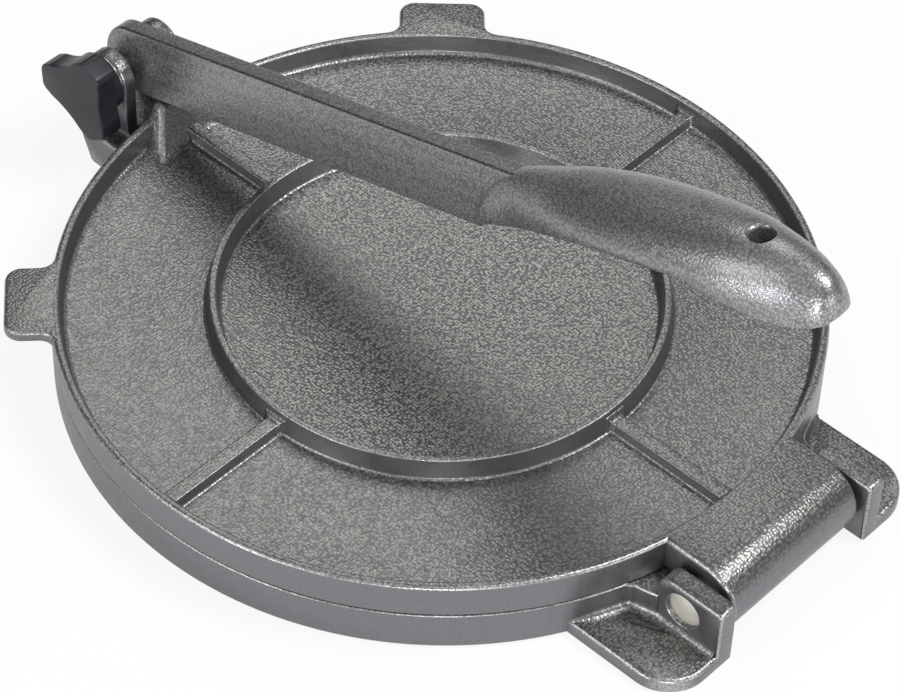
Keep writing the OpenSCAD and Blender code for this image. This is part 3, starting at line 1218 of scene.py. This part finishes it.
    def make(self, finish: Material) -> Object:
        """Builds the whole casting.

        Args:
            finish: Its coat.

        Returns:
            The dressed object.
        """
        draft = Draft()
        self.dish(draft)
        self.pad(draft)
        ribs = TurnedCopies("rib_copies", count=4, start=0.0, spread=90.0)
        absorb(draft, ribs.apply(self.rib().build("rib"), finish))
        tabs = TurnedCopies("tab_copies", count=2, start=-self.tab_angle, spread=2 * self.tab_angle)
        absorb(draft, tabs.apply(self.tab().build("tab"), finish))
        absorb(draft, self.barrel())
        return dress(draft.build("lid_casting"), finish, "lid", "top_plate")


@dataclass
class Base:
    """The lower casting: hollow plate, hinge ears with foot shelves, and the lever's yoke.

    Sizes are in millimetres. head_af is the width of the bolt head's seat across its flats.
    """

    plates: Plates
    wall: float = 5.0
    pocket_h: float = 8.2
    rib_w: float = 5.0
    ear_h: float = 20.0
    ear_reach: float = 12.2
    ear_back: float = 8.4
    ear_r: float = 4.5
    shelf_t: float = 4.5
    shelf_x: float = 48.8
    shelf_r: float = 12.0
    shelf_hollow: float = 2.2
    neck_x: float = 33.4
    neck_bend: float = 4.0
    room_r: float = 11.0
    bracket_half: float = 16.5
    bracket_lean: float = 5.0
    yoke_gap: float = 13.0
    yoke_t: float = 4.3
    yoke_r: float = 7.4
    head_af: float = 10.3
    head_seat: float = 3.0

    def plate(self, draft: Draft, finish: Material) -> None:
        """Adds the turned plate and the cross of ribs below it.

        Args:
            draft: What they are added to.
            finish: The casting's coat.
        """
        p = self.plates
        pocket = p.radius - self.wall
        corners = [
            (0, self.pocket_h, 0),
            (pocket, self.pocket_h, 1.8),
            (pocket, 0, 0.8),
            (p.radius, 0, 1.2),
            (p.radius, p.base_h, 0.5),
            (0, p.base_h, 0),
        ]
        draft.lathe(corner_path(corners, closed=False), p.turns, upright)
        half = self.rib_w / 2
        wide, top = half + 0.4, self.pocket_h + 0.5
        section = corner_path([(-half, 0, 0.7), (half, 0, 0.7), (wide, top, 0), (-wide, top, 0)], closed=True)
        bar = Draft()
        rows = [along_x(x, section[:, :2]) for x in (-pocket - 1, pocket + 1)]
        bar.grid(rows, [section[:, 2], section[:, 2]])
        cross = TurnedCopies("under_ribs", count=2, start=0.0, spread=90.0)
        absorb(draft, cross.apply(bar.build("under_rib"), finish))

    def hinge_side(self, side: Side) -> Draft:
        """Ear and neck on one side of the hinge.

        Args:
            side: The side of the press.

        Returns:
            Their shells, before the pin's bore is cut.
        """
        p = self.plates
        draft = Draft()
        start, foot = p.pin_y - self.ear_back, 0.03
        end = p.pin_y + self.ear_reach
        corners = [(start, foot, 0), (end, foot, 0.6)]
        corners += [(end, self.ear_h, 1.4), (start, self.ear_h, self.ear_r)]
        ear = corner_path(corners, closed=True, steps=10)
        draft.slab(ear, side.stretch(p.ear_x, p.ear_x + p.ear_t), (0.9, 0.9), sideways)
        wall = self.neck_wall()
        in_plate, in_ear = 93.0, p.ear_x - 0.3
        rear = [(wall[0][0], in_plate), (in_ear, in_plate)]
        neck = np.array([(in_ear, start + 0.8), *reversed(wall), *rear])
        neck[:, 0] *= side.value
        draft.slab(neck, (0.06, p.base_h - 0.02), (0.3, 0.8), upright)
        return draft

    def neck_wall(self) -> list[Pair]:
        """Plan of the wall that runs from the plate's edge in a hollow curve to the ear.

        Returns:
            Its points in X and Y.
        """
        p = self.plates
        bend = self.neck_bend
        mid_x = self.neck_x + bend
        mid_y = math.sqrt((p.radius + bend) ** 2 - mid_x**2)
        touch = math.degrees(math.atan2(mid_y, mid_x)) + 180
        curve = arc((mid_x, mid_y), bend, touch, 180, 10)
        return [*curve, (p.ear_x + p.ear_t + 0.2, p.pin_y - self.ear_back + 0.8)]

    def shelf(self, side: Side) -> Draft:
        """The foot shelf beside one ear, with hollow fillets where it meets the ear and the plate.

        Args:
            side: The side of the press.

        Returns:
            Its shells.
        """
        p = self.plates
        draft = Draft()
        end = p.pin_y + self.ear_reach
        inner, in_ear, flush = 100.0, p.ear_x + 1.5, end - 0.04
        turns = np.linspace(math.asin(self.shelf_x / inner), math.asin(in_ear / inner), 14)
        rows = [(inner * math.sin(a), inner * math.cos(a), 0.0) for a in turns]
        rows += [(in_ear, flush, 0.8), (self.shelf_x, flush, self.shelf_r)]
        outline = corner_path(rows, closed=True, steps=14)
        outline[:, 0] *= side.value
        draft.slab(outline, (0.0, self.shelf_t), (0.5, 1.1), upright)
        self.shelf_fillet(draft, side, end - 1.2)
        return draft

    def shelf_fillet(self, draft: Draft, side: Side, end: float) -> None:
        """Adds the hollow fillet that runs on the shelf along plate, neck and ear.

        Args:
            draft: What it is added to.
            side: The side of the press.
            end: Where it ends along Y.
        """
        p = self.plates
        wall = self.neck_wall()
        first = math.atan2(wall[0][0], wall[0][1])
        last = math.asin(self.shelf_x / p.radius)
        plate = [(p.radius * math.sin(a), p.radius * math.cos(a)) for a in np.linspace(last, first, 14)[:-1]]
        ear = [(p.ear_x + p.ear_t, y) for y in np.linspace(wall[-1][1] + 1.0, end, 8)]
        line = np.array([*plate, *wall, *ear])
        run = np.gradient(line, axis=0)
        run /= np.linalg.norm(run, axis=1, keepdims=True)
        out = np.column_stack([-run[:, 1], run[:, 0]])
        out *= np.sign(np.sum(out * np.array([1.0, 0.2]), axis=1, keepdims=True))
        strip = fillet_section(1.0, 0.15, 9)
        rows = []
        for index, (point, way) in enumerate(zip(line, out)):
            radius = self.shelf_hollow * min(1.0, 0.25 + index / 8)
            flat = point + way * strip[:, :1] * radius
            height = self.shelf_t + strip[:, 1] * radius
            rows.append(np.column_stack([side.value * flat[:, 0], flat[:, 1], height]))
        # The whole hollow fillet carries a faint mark, a painted glint along it.
        draft.grid(rows, [np.full(len(strip), 0.25)] * len(rows))

    def hinge(self, draft: Draft) -> None:
        """Adds both sides of the hinge, and the web between them with room for the barrel.

        Args:
            draft: What they are added to.
        """
        p = self.plates
        for side in Side:
            made = self.hinge_side(side).build("hinge_side")
            absorb(draft, cut_away(made, [self.pin_cutter(side)]))
            absorb(draft, self.shelf(side).build("shelf"))
        edge_y, in_plate = p.pin_y - self.ear_back + 1.0, 98.6
        drop = math.sqrt(self.room_r**2 - (p.pin_y - edge_y) ** 2)
        first = 180 + math.degrees(math.asin(drop / self.room_r))
        hollow = arc((p.pin_y, p.pin_z), self.room_r, first, 181.0, 14)
        web = np.array([(in_plate, 0.0), (edge_y, 0.0), *hollow, (in_plate, p.base_h)])
        draft.slab(web, (-p.ear_x - 0.2, p.ear_x + 0.2), (0.0, 0.0), sideways)

    def pin_cutter(self, side: Side) -> Object:
        """Cutter of the pin's bore in one ear, with the recess of its head and a countersink.

        Args:
            side: The side of the press.

        Returns:
            Its object.
        """
        p = self.plates
        inner, face = p.ear_x - 3, p.ear_x + p.ear_t
        seat, sunk = face - 1.6, p.pin_r + 0.75
        path = [(0, inner, 0), (p.pin_bore, inner, 0), (p.pin_bore, seat, 0), (sunk, seat, 0)]
        path += [(sunk, face - 0.4, 0), (sunk + 0.15, face - 0.12, 1), (sunk + 0.45, face + 0.02, 1)]
        path += [(sunk + 0.5, face + 3, 0), (0, face + 3, 0)]
        rows = np.array(path)
        rows[:, 1] *= side.value
        draft = Draft()
        draft.lathe(rows, 48, p.round_pin())
        return draft.build("pin_cutter")

    def yoke(self, draft: Draft) -> None:
        """Adds the bracket and the two ears that hold the lever's bolt.

        Args:
            draft: What they are added to.
        """
        p = self.plates
        front, back = p.bolt_y - self.yoke_r, -99.6
        corners = [(front + self.bracket_lean, 0, 2.2), (back, 0, 0)]
        corners += [(back, p.base_h, 0), (front, p.base_h, 1.6)]
        bracket = corner_path(corners, closed=True, steps=8)
        draft.slab(bracket, (-self.bracket_half, self.bracket_half), (1.6, 1.6), sideways, steps=6)
        inner = self.yoke_gap / 2
        outer = inner + self.yoke_t
        root = 8.0
        crown = arc((p.bolt_y, p.bolt_z), self.yoke_r, 0, 180, 33)
        outline = np.array([(front, root), (p.bolt_y + self.yoke_r, root), *crown])
        for side in Side:
            ear = Draft()
            ear.slab(outline, side.stretch(inner, outer), (0.8, 0.8), sideways, steps=5)
            made = ear.build("yoke_ear")
            cutters = [bore_cutter("bolt_cutter", p.bolt_bore, 12, 40, p.round_bolt())]
            if side is Side.PLAIN:
                seat = Draft()
                depth = (-outer - 2, -outer + self.head_seat)
                seat.slab(six_sides(self.head_af), depth, (0, 0), p.round_bolt())
                cutters.append(seat.build("head_seat"))
            absorb(draft, cut_away(made, cutters))
            for face, way in ((outer, 1), (inner, -1)):
                self.foot_fillet(draft, side.value * face, side.value * way)

    def foot_fillet(self, draft: Draft, face_x: float, way: int) -> None:
        """Adds a hollow fillet along the foot of a yoke ear.

        Args:
            draft: What it is added to.
            face_x: Place of the ear's face.
            way: 1 where the fillet reaches toward +X.
        """
        p = self.plates
        strip = fillet_section(1.6, 0.3, 7)
        x, z = face_x + way * strip[:, 0], p.base_h + strip[:, 1]
        places = np.linspace(p.bolt_y - self.yoke_r + 0.9, p.bolt_y + self.yoke_r + 3.0, 9)
        rows = [np.column_stack([x, np.full(len(strip), y), z]) for y in places]
        # The whole hollow fillet carries a faint mark, a painted glint along it.
        draft.grid(rows, [np.full(len(strip), 0.2)] * len(rows))

    def make(self, finish: Material) -> Object:
        """Builds the whole casting.

        Args:
            finish: Its coat.

        Returns:
            The dressed object.
        """
        draft = Draft()
        self.plate(draft, finish)
        self.hinge(draft)
        self.yoke(draft)
        return dress(draft.build("base_casting"), finish, "base", "base_plate")


@dataclass
class Lever:
    """The folding lever: a tapered bar with a round end at the bolt and a domed grip.

    Sizes are in millimetres, and the lean above the level is in degrees. Each station of the grip holds its
    place along the grip, its width, the height of its widest line and its top, as shares of length, half
    width and crown.
    """

    plates: Plates
    lean: float = 15.8
    length: float = 251.4
    bar_up: float = 11.8
    bar_down: float = 6.7
    top_half: float = 2.5
    foot_half: float = 5.5
    bar_soft: float = 0.7
    bar_run: float = 26.0
    dark_line_above: float = 8.0
    eye_shift: float = 2.4
    grip_l: float = 114.4
    grip_half: float = 14.5
    crown: float = 20.7
    under: float = 2.5
    hang_r: float = 3.3
    hang_back: float = 21.6
    hang_rim: float = 1.0
    hang_edge: float = 18.9
    sides: int = 72
    stations: tuple[tuple[float, float, float, float], ...] = (
        (0.00, 0.46, -0.18, -0.05),
        (0.02, 0.54, -0.14, 0.16),
        (0.06, 0.57, -0.07, 0.41),
        (0.11, 0.58, -0.01, 0.57),
        (0.20, 0.72, 0.17, 0.70),
        (0.30, 0.88, 0.33, 0.82),
        (0.41, 0.97, 0.44, 0.89),
        (0.52, 1.00, 0.49, 0.94),
        (0.64, 0.97, 0.50, 0.98),
        (0.74, 0.95, 0.40, 1.00),
        (0.83, 0.85, 0.28, 0.96),
        (0.90, 0.72, 0.20, 0.88),
        (0.95, 0.56, 0.18, 0.76),
        (0.98, 0.40, 0.19, 0.64),
        (0.995, 0.22, 0.22, 0.51),
        (1.00, 0.07, 0.27, 0.39),
    )

    def posed(self, points: np.ndarray) -> np.ndarray:
        """Turns points drawn along Y from the bolt to the lever's resting place.

        Args:
            points: Points in space.

        Returns:
            The turned points.
        """
        p = self.plates
        a = math.radians(self.lean)
        along, up = points[:, 1], points[:, 2]
        y = p.bolt_y + along * math.cos(a) - up * math.sin(a)
        z = p.bolt_z + along * math.sin(a) + up * math.cos(a)
        return np.column_stack([points[:, 0], y, z])

    def bar(self) -> Object:
        """The tapered bar with its eye, bored for the bolt.

        Returns:
            Its object.
        """
        p = self.plates
        draft = Draft()
        start = self.length - self.grip_l
        mid = (self.bar_up - self.bar_down) / 2
        eye = (self.bar_up + self.bar_down) / 2
        run, foot_end = start + self.bar_run, 14
        outline = arc((self.eye_shift, mid), eye, 90, 270, 33)
        top = [(u, self.bar_up) for u in np.linspace(run, foot_end, 24)]
        foot = [(u, -self.bar_down) for u in np.linspace(foot_end, start, 20)]
        flat = counter_clockwise(np.array([*outline, *foot, (run, 6.0), *top]))
        radius, steps = self.bar_soft, 5
        rows, marks = [], []
        for end in (-1, 1):
            for step in range(steps + 1) if end < 0 else range(steps, -1, -1):
                angle = QUARTER * step / steps
                points = inset(flat, radius * (1 - math.sin(angle)))
                share = np.clip((self.bar_up - points[:, 1]) / (self.bar_up + self.bar_down), 0, 1)
                half = self.top_half + (self.foot_half - self.top_half) * share
                half -= radius * (1 - math.cos(angle))
                rows.append(self.posed(np.column_stack([end * half, points])))
                # Marks along the top edges, where the lever's coat paints a dark line: a painted reflection
                # of dark surroundings.
                marks.append(np.where(points[:, 1] > self.dark_line_above, math.sin(2 * angle) * 1.2, 0.0))
        draft.grid(rows, marks)
        return cut_away(draft.build("bar"), [bore_cutter("lever_cutter", p.bolt_bore, 9, 40, p.round_bolt())])

    def grip(self) -> Object:
        """The domed grip, with its hang hole cut through.

        Returns:
            Its object.
        """
        draft = Draft()
        start, tip = self.length - self.grip_l, 0.12
        ending = 1 - tip * np.linspace(1, 0, 30) ** 1.7
        share = np.concatenate([np.linspace(0, tip, 14)[:-1], np.linspace(tip, 1 - tip, 60)[:-1], ending])
        turn = np.arange(self.sides) * FULL / self.sides
        rows = []
        for s, (wide, level, top) in zip(share, smooth_table(self.stations, share)):
            centre = level * self.crown
            rise = np.where(np.sin(turn) > 0, top * self.crown - centre, self.under * wide)
            x = wide * self.grip_half * np.cos(turn)
            along = np.full(self.sides, start + s * self.grip_l)
            rows.append(self.posed(np.column_stack([x, along, centre + rise * np.sin(turn)])))
        draft.grid(rows, [np.zeros(self.sides)] * len(rows))
        return cut_away(draft.build("grip", sharp=60.0), [self.hang_cutter()])

    def hang_cutter(self) -> Object:
        """Cutter of the hang hole, with a rounded upper edge.

        Returns:
            Its object.
        """
        r, rim, edge = self.hang_r, self.hang_rim, self.hang_edge
        low, high = -12.0, 26.0
        path = [(0.0, low, 0.0), (r, low, 0.0), (r, edge, 0.0)]
        turns = np.linspace(0.2, QUARTER, 6)
        path += [(r + rim * (1 - math.cos(a)), edge + rim * math.sin(a) * 1.3, 1.0) for a in turns]
        path += [(r + rim, high, 0.0), (0.0, high, 0.0)]
        hole = Draft()

        def place(points: np.ndarray, heights: np.ndarray) -> np.ndarray:
            """Points round the hole's axis, heights square to the bar."""
            along = points[:, 1] + self.length - self.hang_back
            return self.posed(np.column_stack([points[:, 0], along, heights]))

        hole.lathe(np.array(path), 40, place)
        return hole.build("hang_cutter")

    def make(self, finish: Material) -> Object:
        """Builds the whole lever.

        Args:
            finish: Its coat.

        Returns:
            The dressed object.
        """
        draft = Draft()
        absorb(draft, self.bar())
        absorb(draft, self.grip())
        return dress(draft.build("lever_casting"), finish, "lever", "lever")


# Pins, bolt and knob


@dataclass
class Hardware:
    """Hinge pin, lever bolt, washer, clamp knob and its insert.

    Sizes are in millimetres and angles in degrees. head_af is the bolt head's width across its flats.
    """

    plates: Plates
    pin_half: float = 30.4
    pin_dome: float = 0.9
    pin_head_r: float = 5.19
    yoke_x: float = 10.8
    head_af: float = 10.0
    head_t: float = 4.0
    head_seat: float = 3.0
    washer_r: float = 7.0
    washer_t: float = 1.0
    collar_r: float = 8.5
    collar_l: float = 3.6
    knob_t: float = 7.0
    knob_reach: float = 14.4
    lobe_r: float = 5.4
    blunt_at: float = 13.9
    knob_angle: float = 3.0
    flute_depth: float = 0.8
    flute_r: float = 22.0
    insert_r: float = 4.5

    def pin(self, finish: Material) -> Object:
        """The hinge pin with a domed head sunk in each ear.

        Args:
            finish: Its metal.

        Returns:
            The dressed object.
        """
        p = self.plates
        head, dome, half = self.pin_head_r, self.pin_dome, self.pin_half
        ball = (head * head + dome * dome) / (2 * dome)
        reach = half + dome
        turns = np.linspace(0, math.asin(head / ball) * 0.97, 12)
        curve = [(ball * math.sin(a), reach - ball * (1 - math.cos(a)), 0.0) for a in turns]
        rim = [(head, half + 0.06, 0.0), (head, half, 0.0), (p.pin_r, half, 0.0)]
        side = curve + rim
        path = [(a, -b, m) for a, b, m in side] + list(reversed(side))
        draft = Draft()
        draft.lathe(np.array(path), 72, p.round_pin())
        return dress(draft.build("hinge_pin_turned"), finish, "base", "hinge_pin")

    def bolt(self, finish: Material) -> Object:
        """The bolt: shank and a six-sided head with softened corners.

        Args:
            finish: Its metal.

        Returns:
            The dressed object.
        """
        p = self.plates
        end = self.yoke_x + self.washer_t + self.collar_l + self.knob_t - 3.0
        draft = Draft()
        corners = [(0, -self.yoke_x, 0), (p.bolt_r, -self.yoke_x, 0), (p.bolt_r, end, 0.6), (0, end, 0)]
        draft.lathe(corner_path(corners, closed=False), 40, p.round_bolt())
        outer = self.head_seat - self.yoke_x
        outline = corner_path([(x, y, 0.5) for x, y in six_sides(self.head_af)], closed=True)
        draft.slab(outline, (outer - self.head_t, outer), (0.5, 0.2), p.round_bolt())
        return dress(draft.build("pivot_bolt_rolled"), finish, "base", "pivot_bolt")

    def ring(self, inner: float, outer: float, span: Pair, soft: float) -> Draft:
        """A turned ring round the bolt.

        Args:
            inner: Its inner radius.
            outer: Its outer radius.
            span: Where it starts and ends along X.
            soft: Radius of its edges.

        Returns:
            Its shell.
        """
        low, high = span
        corners = [(inner, low, soft), (outer, low, soft), (outer, high, soft), (inner, high, soft)]
        draft = Draft()
        draft.lathe(corner_path(corners, closed=True, steps=3), 56, self.plates.round_bolt())
        return draft

    def washer(self, finish: Material) -> Object:
        """The washer between yoke and knob.

        Args:
            finish: Its metal.

        Returns:
            The dressed object.
        """
        span = (self.yoke_x, self.yoke_x + self.washer_t)
        draft = self.ring(self.plates.bolt_bore, self.washer_r, span, 0.2)
        return dress(draft.build("knob_washer_pressed"), finish, "base", "knob_washer")

    def insert(self, finish: Material) -> Object:
        """The insert inside the knob.

        Args:
            finish: Its metal.

        Returns:
            The dressed object.
        """
        start = self.yoke_x + self.washer_t
        end = start + self.collar_l + self.knob_t - 2.0
        draft = self.ring(self.plates.bolt_bore, self.insert_r, (start, end), 0.3)
        return dress(draft.build("knob_insert_turned"), finish, "knob", "knob_insert")

    def knob_reach_at(self, degrees: float) -> float:
        """How far the knob's outline reaches from the bolt.

        Args:
            degrees: Direction.

        Returns:
            The distance, before the outline is smoothed.
        """
        way = heading(degrees)
        arm = self.knob_reach + 0.3 - self.lobe_r
        flat = arm * 0.5 + self.lobe_r
        reach = 0.0
        for turn in (60, 180, 300):
            lobe = arm * heading(turn)
            along = way @ lobe
            gap = self.lobe_r**2 - (lobe @ lobe - along**2)
            if gap > 0:
                reach = max(reach, along + math.sqrt(gap))
        side = min((0, 120, 240), key=lambda t: abs(turn_between(degrees, t)))
        off = turn_between(degrees, side)
        if abs(off) < 60 - math.degrees(math.atan2(self.lobe_r * 0.5, arm)):
            reach = max(reach, flat / math.cos(math.radians(off)))
        flute = heading(side) * (flat + self.flute_r - self.flute_depth)
        along = way @ flute
        gap = self.flute_r**2 - (flute @ flute - along**2)
        if gap > 0 and along > 0:
            reach = min(reach, along - math.sqrt(gap))
        blunt = min(abs(turn_between(degrees, t)) for t in (60, 180, 300))
        return min(reach, self.blunt_at / math.cos(math.radians(blunt)))

    def knob_outline(self) -> np.ndarray:
        """Triangle of three blunt lobes with a shallow hollow in each side.

        Returns:
            Its closed outline round the bolt.
        """
        outline = np.array([heading(a) * self.knob_reach_at(a) for a in np.arange(0, 360, 1.5)])
        for _ in range(2):
            outline = 0.5 * outline + 0.25 * (np.roll(outline, 1, axis=0) + np.roll(outline, -1, axis=0))
        turn = math.radians(self.knob_angle)
        spin = np.array([[math.cos(turn), math.sin(turn)], [-math.sin(turn), math.cos(turn)]])
        return outline @ spin

    def knob(self, finish: Material) -> Object:
        """The three-lobed clamp knob with its collar.

        Args:
            finish: Its plastic.

        Returns:
            The dressed object.
        """
        place = self.plates.round_bolt()
        start = self.yoke_x + self.washer_t
        body = start + self.collar_l
        inside = body + 1.5
        draft = Draft()
        draft.slab(self.knob_outline(), (body, body + self.knob_t), (0.6, 0.7), place, steps=6)
        corners = [(self.insert_r, start, 0.3), (self.collar_r, start, 0.7)]
        corners += [(self.collar_r, inside, 0), (self.insert_r, inside, 0)]
        draft.lathe(corner_path(corners, closed=True), 64, place)
        return dress(draft.build("clamp_knob_moulded"), finish, "knob", "wing_knob")


def dress(made: Object, finish: Material, body: str, node: str) -> Object:
    """Gives a piece its finish in a material slot and its body, and hides the part that it stands for.

    Args:
        made: The piece.
        finish: Its material.
        body: Body that it moves with.
        node: Part that it replaces.

    Returns:
        The same piece.
    """
    made.data.materials.clear()
    made.data.materials.append(finish)
    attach(made, body)
    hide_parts(node)
    LOG.info("%s: %d faces, on %s, for %s", made.name, len(made.data.polygons), body, node)
    return made


# Studio


@dataclass(frozen=True)
class SoftLamp:
    """A round soft lamp.

    Attributes:
        name: Its name.
        bearing: Its bearing from the press in degrees.
        height: Its height above the level in degrees.
        size: Its width in metres.
        power: Its power in watts.
        away: Its distance in metres.
    """

    name: str
    bearing: float
    height: float
    size: float
    power: float
    away: float = 1.5

    def way(self) -> Vector:
        """Direction from the press to the lamp.

        Returns:
            A vector of length 1.
        """
        level = math.cos(math.radians(self.height))
        turn = math.radians(self.bearing)
        return Vector((math.cos(turn) * level, math.sin(turn) * level, math.sin(math.radians(self.height))))


@dataclass
class Studio:
    """Pale floor, soft lamps and the camera.

    Attributes:
        centre: Where the lamps point, in metres.
        floor_half: Half the floor's width in metres.
        floor_z: Height of the floor in metres.
        lamps: The soft lamps.
        horizon: Brightness of the surroundings low down, as gloss shows it.
        dome: Brightness overhead, as gloss shows it.
        soft_light: Brightness of the surroundings as a light.
        shade: What is left of the brightness in the shaded direction.
        shade_way: Direction of the shade.
        lens: The camera's lens in millimetres.
        eye: The camera's place in metres.
        view: Direction in which it looks.
        roll: Its turn about that direction in degrees.
    """

    centre: Triple = (0.0, 0.0, 0.05)
    floor_half: float = 6.0
    floor_z: float = -0.0003
    lamps: tuple[SoftLamp, ...] = (
        SoftLamp("key_lamp", 122, 58, 0.62, 13.2),
        SoftLamp("low_side_lamp", 0, 10, 0.36, 5.0),
        SoftLamp("front_lamp", 45, 8, 0.4, 6.9),
        SoftLamp("back_lamp", 90, 9, 0.5, 3.4),
        SoftLamp("high_side_lamp", 338, 32, 0.62, 3.9),
        SoftLamp("far_lamp", 228, 50, 0.7, 2.8),
    )
    horizon: float = 0.29
    dome: float = 0.69
    soft_light: float = 0.48
    shade: float = 0.1
    shade_way: Triple = (0.1, -0.907, 0.41)
    lens: float = 138.5
    eye: Triple = (0.4757, 0.4255, 0.6733)
    view: Triple = (-0.5152, -0.4564, -0.7255)
    roll: float = 2.21

    def floor(self) -> None:
        """Lays a wide pale floor that keeps the press's shadow."""
        mesh = bpy.data.meshes.new("studio_floor")
        r, z = self.floor_half, self.floor_z
        mesh.from_pydata([(-r, -r, z), (r, -r, z), (r, r, z), (-r, r, z)], [], [(0, 1, 2, 3)])
        made = bpy.data.objects.new("studio_floor", mesh)
        bpy.context.scene.collection.objects.link(made)
        paint = {"Base Color": (0.86, 0.86, 0.86, 1), "Roughness": 0.9, "Specular IOR Level": 0.1}
        n = SurfaceNodes("pale_floor", paint)
        glow = n.new("Emission")
        seen = n.new("LightPath")
        by_eye = n.math("MULTIPLY", seen, "Is Camera Ray", 0.87)
        by_gloss = n.math("MULTIPLY", n.mirrored(seen), 0, 0.4)
        mixed = n.new("MixShader")
        n.join(n.math("MAXIMUM", by_eye, 0, by_gloss), 0, mixed, 0)
        n.join(n.shader, "BSDF", mixed, 1)
        n.join(glow, "Emission", mixed, 2)
        n.join(mixed, 0, n.output, "Surface")
        mesh.materials.append(n.material)

    def world(self) -> None:
        """Makes surroundings that are white for the eye, a shaded dome for gloss and even for soft light."""
        world = bpy.data.worlds.new("studio")
        bpy.context.scene.world = world
        world.use_nodes = True
        n = Nodes(world.node_tree)
        out = n.new("OutputWorld")
        back = n.new("Background")
        seen = n.new("LightPath")
        parts = n.new("SeparateXYZ")
        n.join(n.where, "Generated", parts, 0)
        dome = n.span(parts, "Z", 0.3, 0.8, (self.horizon, self.dome), smooth=True)
        facing = n.fill(n.new("VectorMath", operation="DOT_PRODUCT"), {1: self.shade_way})
        n.join(n.where, "Generated", facing, 0)
        shade = n.span(facing, "Value", 0.72, 0.95, (1.0, self.shade), smooth=True)
        soft = n.fill(n.new("Mix"), {2: self.soft_light})
        n.join(n.mirrored(seen), 0, soft, 0)
        n.join(n.math("MULTIPLY", dome, 0, shade), 0, soft, 3)
        level = n.fill(n.new("Mix"), {3: 1.0})
        n.join(soft, 0, level, 2)
        n.join(seen, "Is Camera Ray", level, 0)
        n.join(level, 0, back, "Strength")
        n.join(back, 0, out, "Surface")

    def hang(self, lamp: SoftLamp) -> None:
        """Hangs one soft lamp, turned toward the press.

        Args:
            lamp: The lamp.
        """
        data = bpy.data.lights.new(lamp.name, "AREA")
        data.shape = "DISK"
        data.size = lamp.size
        data.energy = lamp.power
        made = bpy.data.objects.new(lamp.name, data)
        bpy.context.scene.collection.objects.link(made)
        direction = lamp.way()
        made.location = Vector(self.centre) + direction * lamp.away
        made.visible_camera = False
        made.rotation_mode = "QUATERNION"
        made.rotation_quaternion = direction.to_track_quat("Z", "Y")

    def camera(self) -> None:
        """Sets the camera at the photograph's place, turn and lens."""
        data = bpy.data.cameras.new("camera")
        data.lens = self.lens
        data.sensor_width = 36.0
        data.clip_start, data.clip_end = 0.05, 50
        made = bpy.data.objects.new("camera", data)
        bpy.context.scene.collection.objects.link(made)
        view = Vector(self.view).normalized()
        right = view.cross(Vector((0, 0, 1))).normalized()
        up = right.cross(view)
        roll = math.radians(self.roll)
        across = right * math.cos(roll) + up * math.sin(roll)
        above = -right * math.sin(roll) + up * math.cos(roll)
        turn = Matrix((across, above, -view)).transposed().to_4x4()
        made.matrix_world = Matrix.Translation(self.eye) @ turn
        bpy.context.scene.camera = made

    def build(self) -> None:
        """Sets up the whole studio."""
        self.floor()
        self.world()
        for lamp in self.lamps:
            self.hang(lamp)
        self.camera()
        bpy.context.scene.view_settings.view_transform = "Standard"


def main() -> None:
    """Builds the press and its studio."""
    logging.basicConfig(level=logging.INFO, format="%(name)s: %(message)s")
    for old in list(bpy.data.objects):
        bpy.data.objects.remove(old)
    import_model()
    coat = CastCoat(
        "cast_coat",
        dark=(0.07, 0.069, 0.074),
        light=(0.385, 0.378, 0.355),
        # Pale along marked edges: wear, and painted glints on the hollow fillets.
        edge_wear_and_reflection=(0.5, 0.5, 0.49),
    )
    lever_coat = CastCoat(
        "lever_coat",
        dark=(0.18, 0.18, 0.19),
        light=(0.38, 0.38, 0.39),
        # Dark along the bar's top edges: a painted reflection line.
        edge_wear_and_reflection=(0.06, 0.06, 0.065),
        grain_scale=1300.0,
        relief=0.00004,
        metal=0.74,
        roughness=(0.31, 0.37),
        outside=1.0,
        walls=1.0,
        level=(0.5, 0.5),
        painted_wall_tint=(0.28, 0.28, 0.29),
    )
    cast = coat.material()
    lever_cast = lever_coat.material()
    steel = BrightSteel().material()
    plates = Plates()
    Base(plates).make(cast)
    Lid(plates).make(cast)
    Lever(plates).make(lever_cast)
    hardware = Hardware(plates)
    hardware.pin(PlatedSteel().material())
    hardware.bolt(steel)
    hardware.washer(steel)
    hardware.knob(MouldedPlastic().material())
    hardware.insert(TurnedBrass().material())
    Studio().build()


if __name__ == "__main__":
    main()
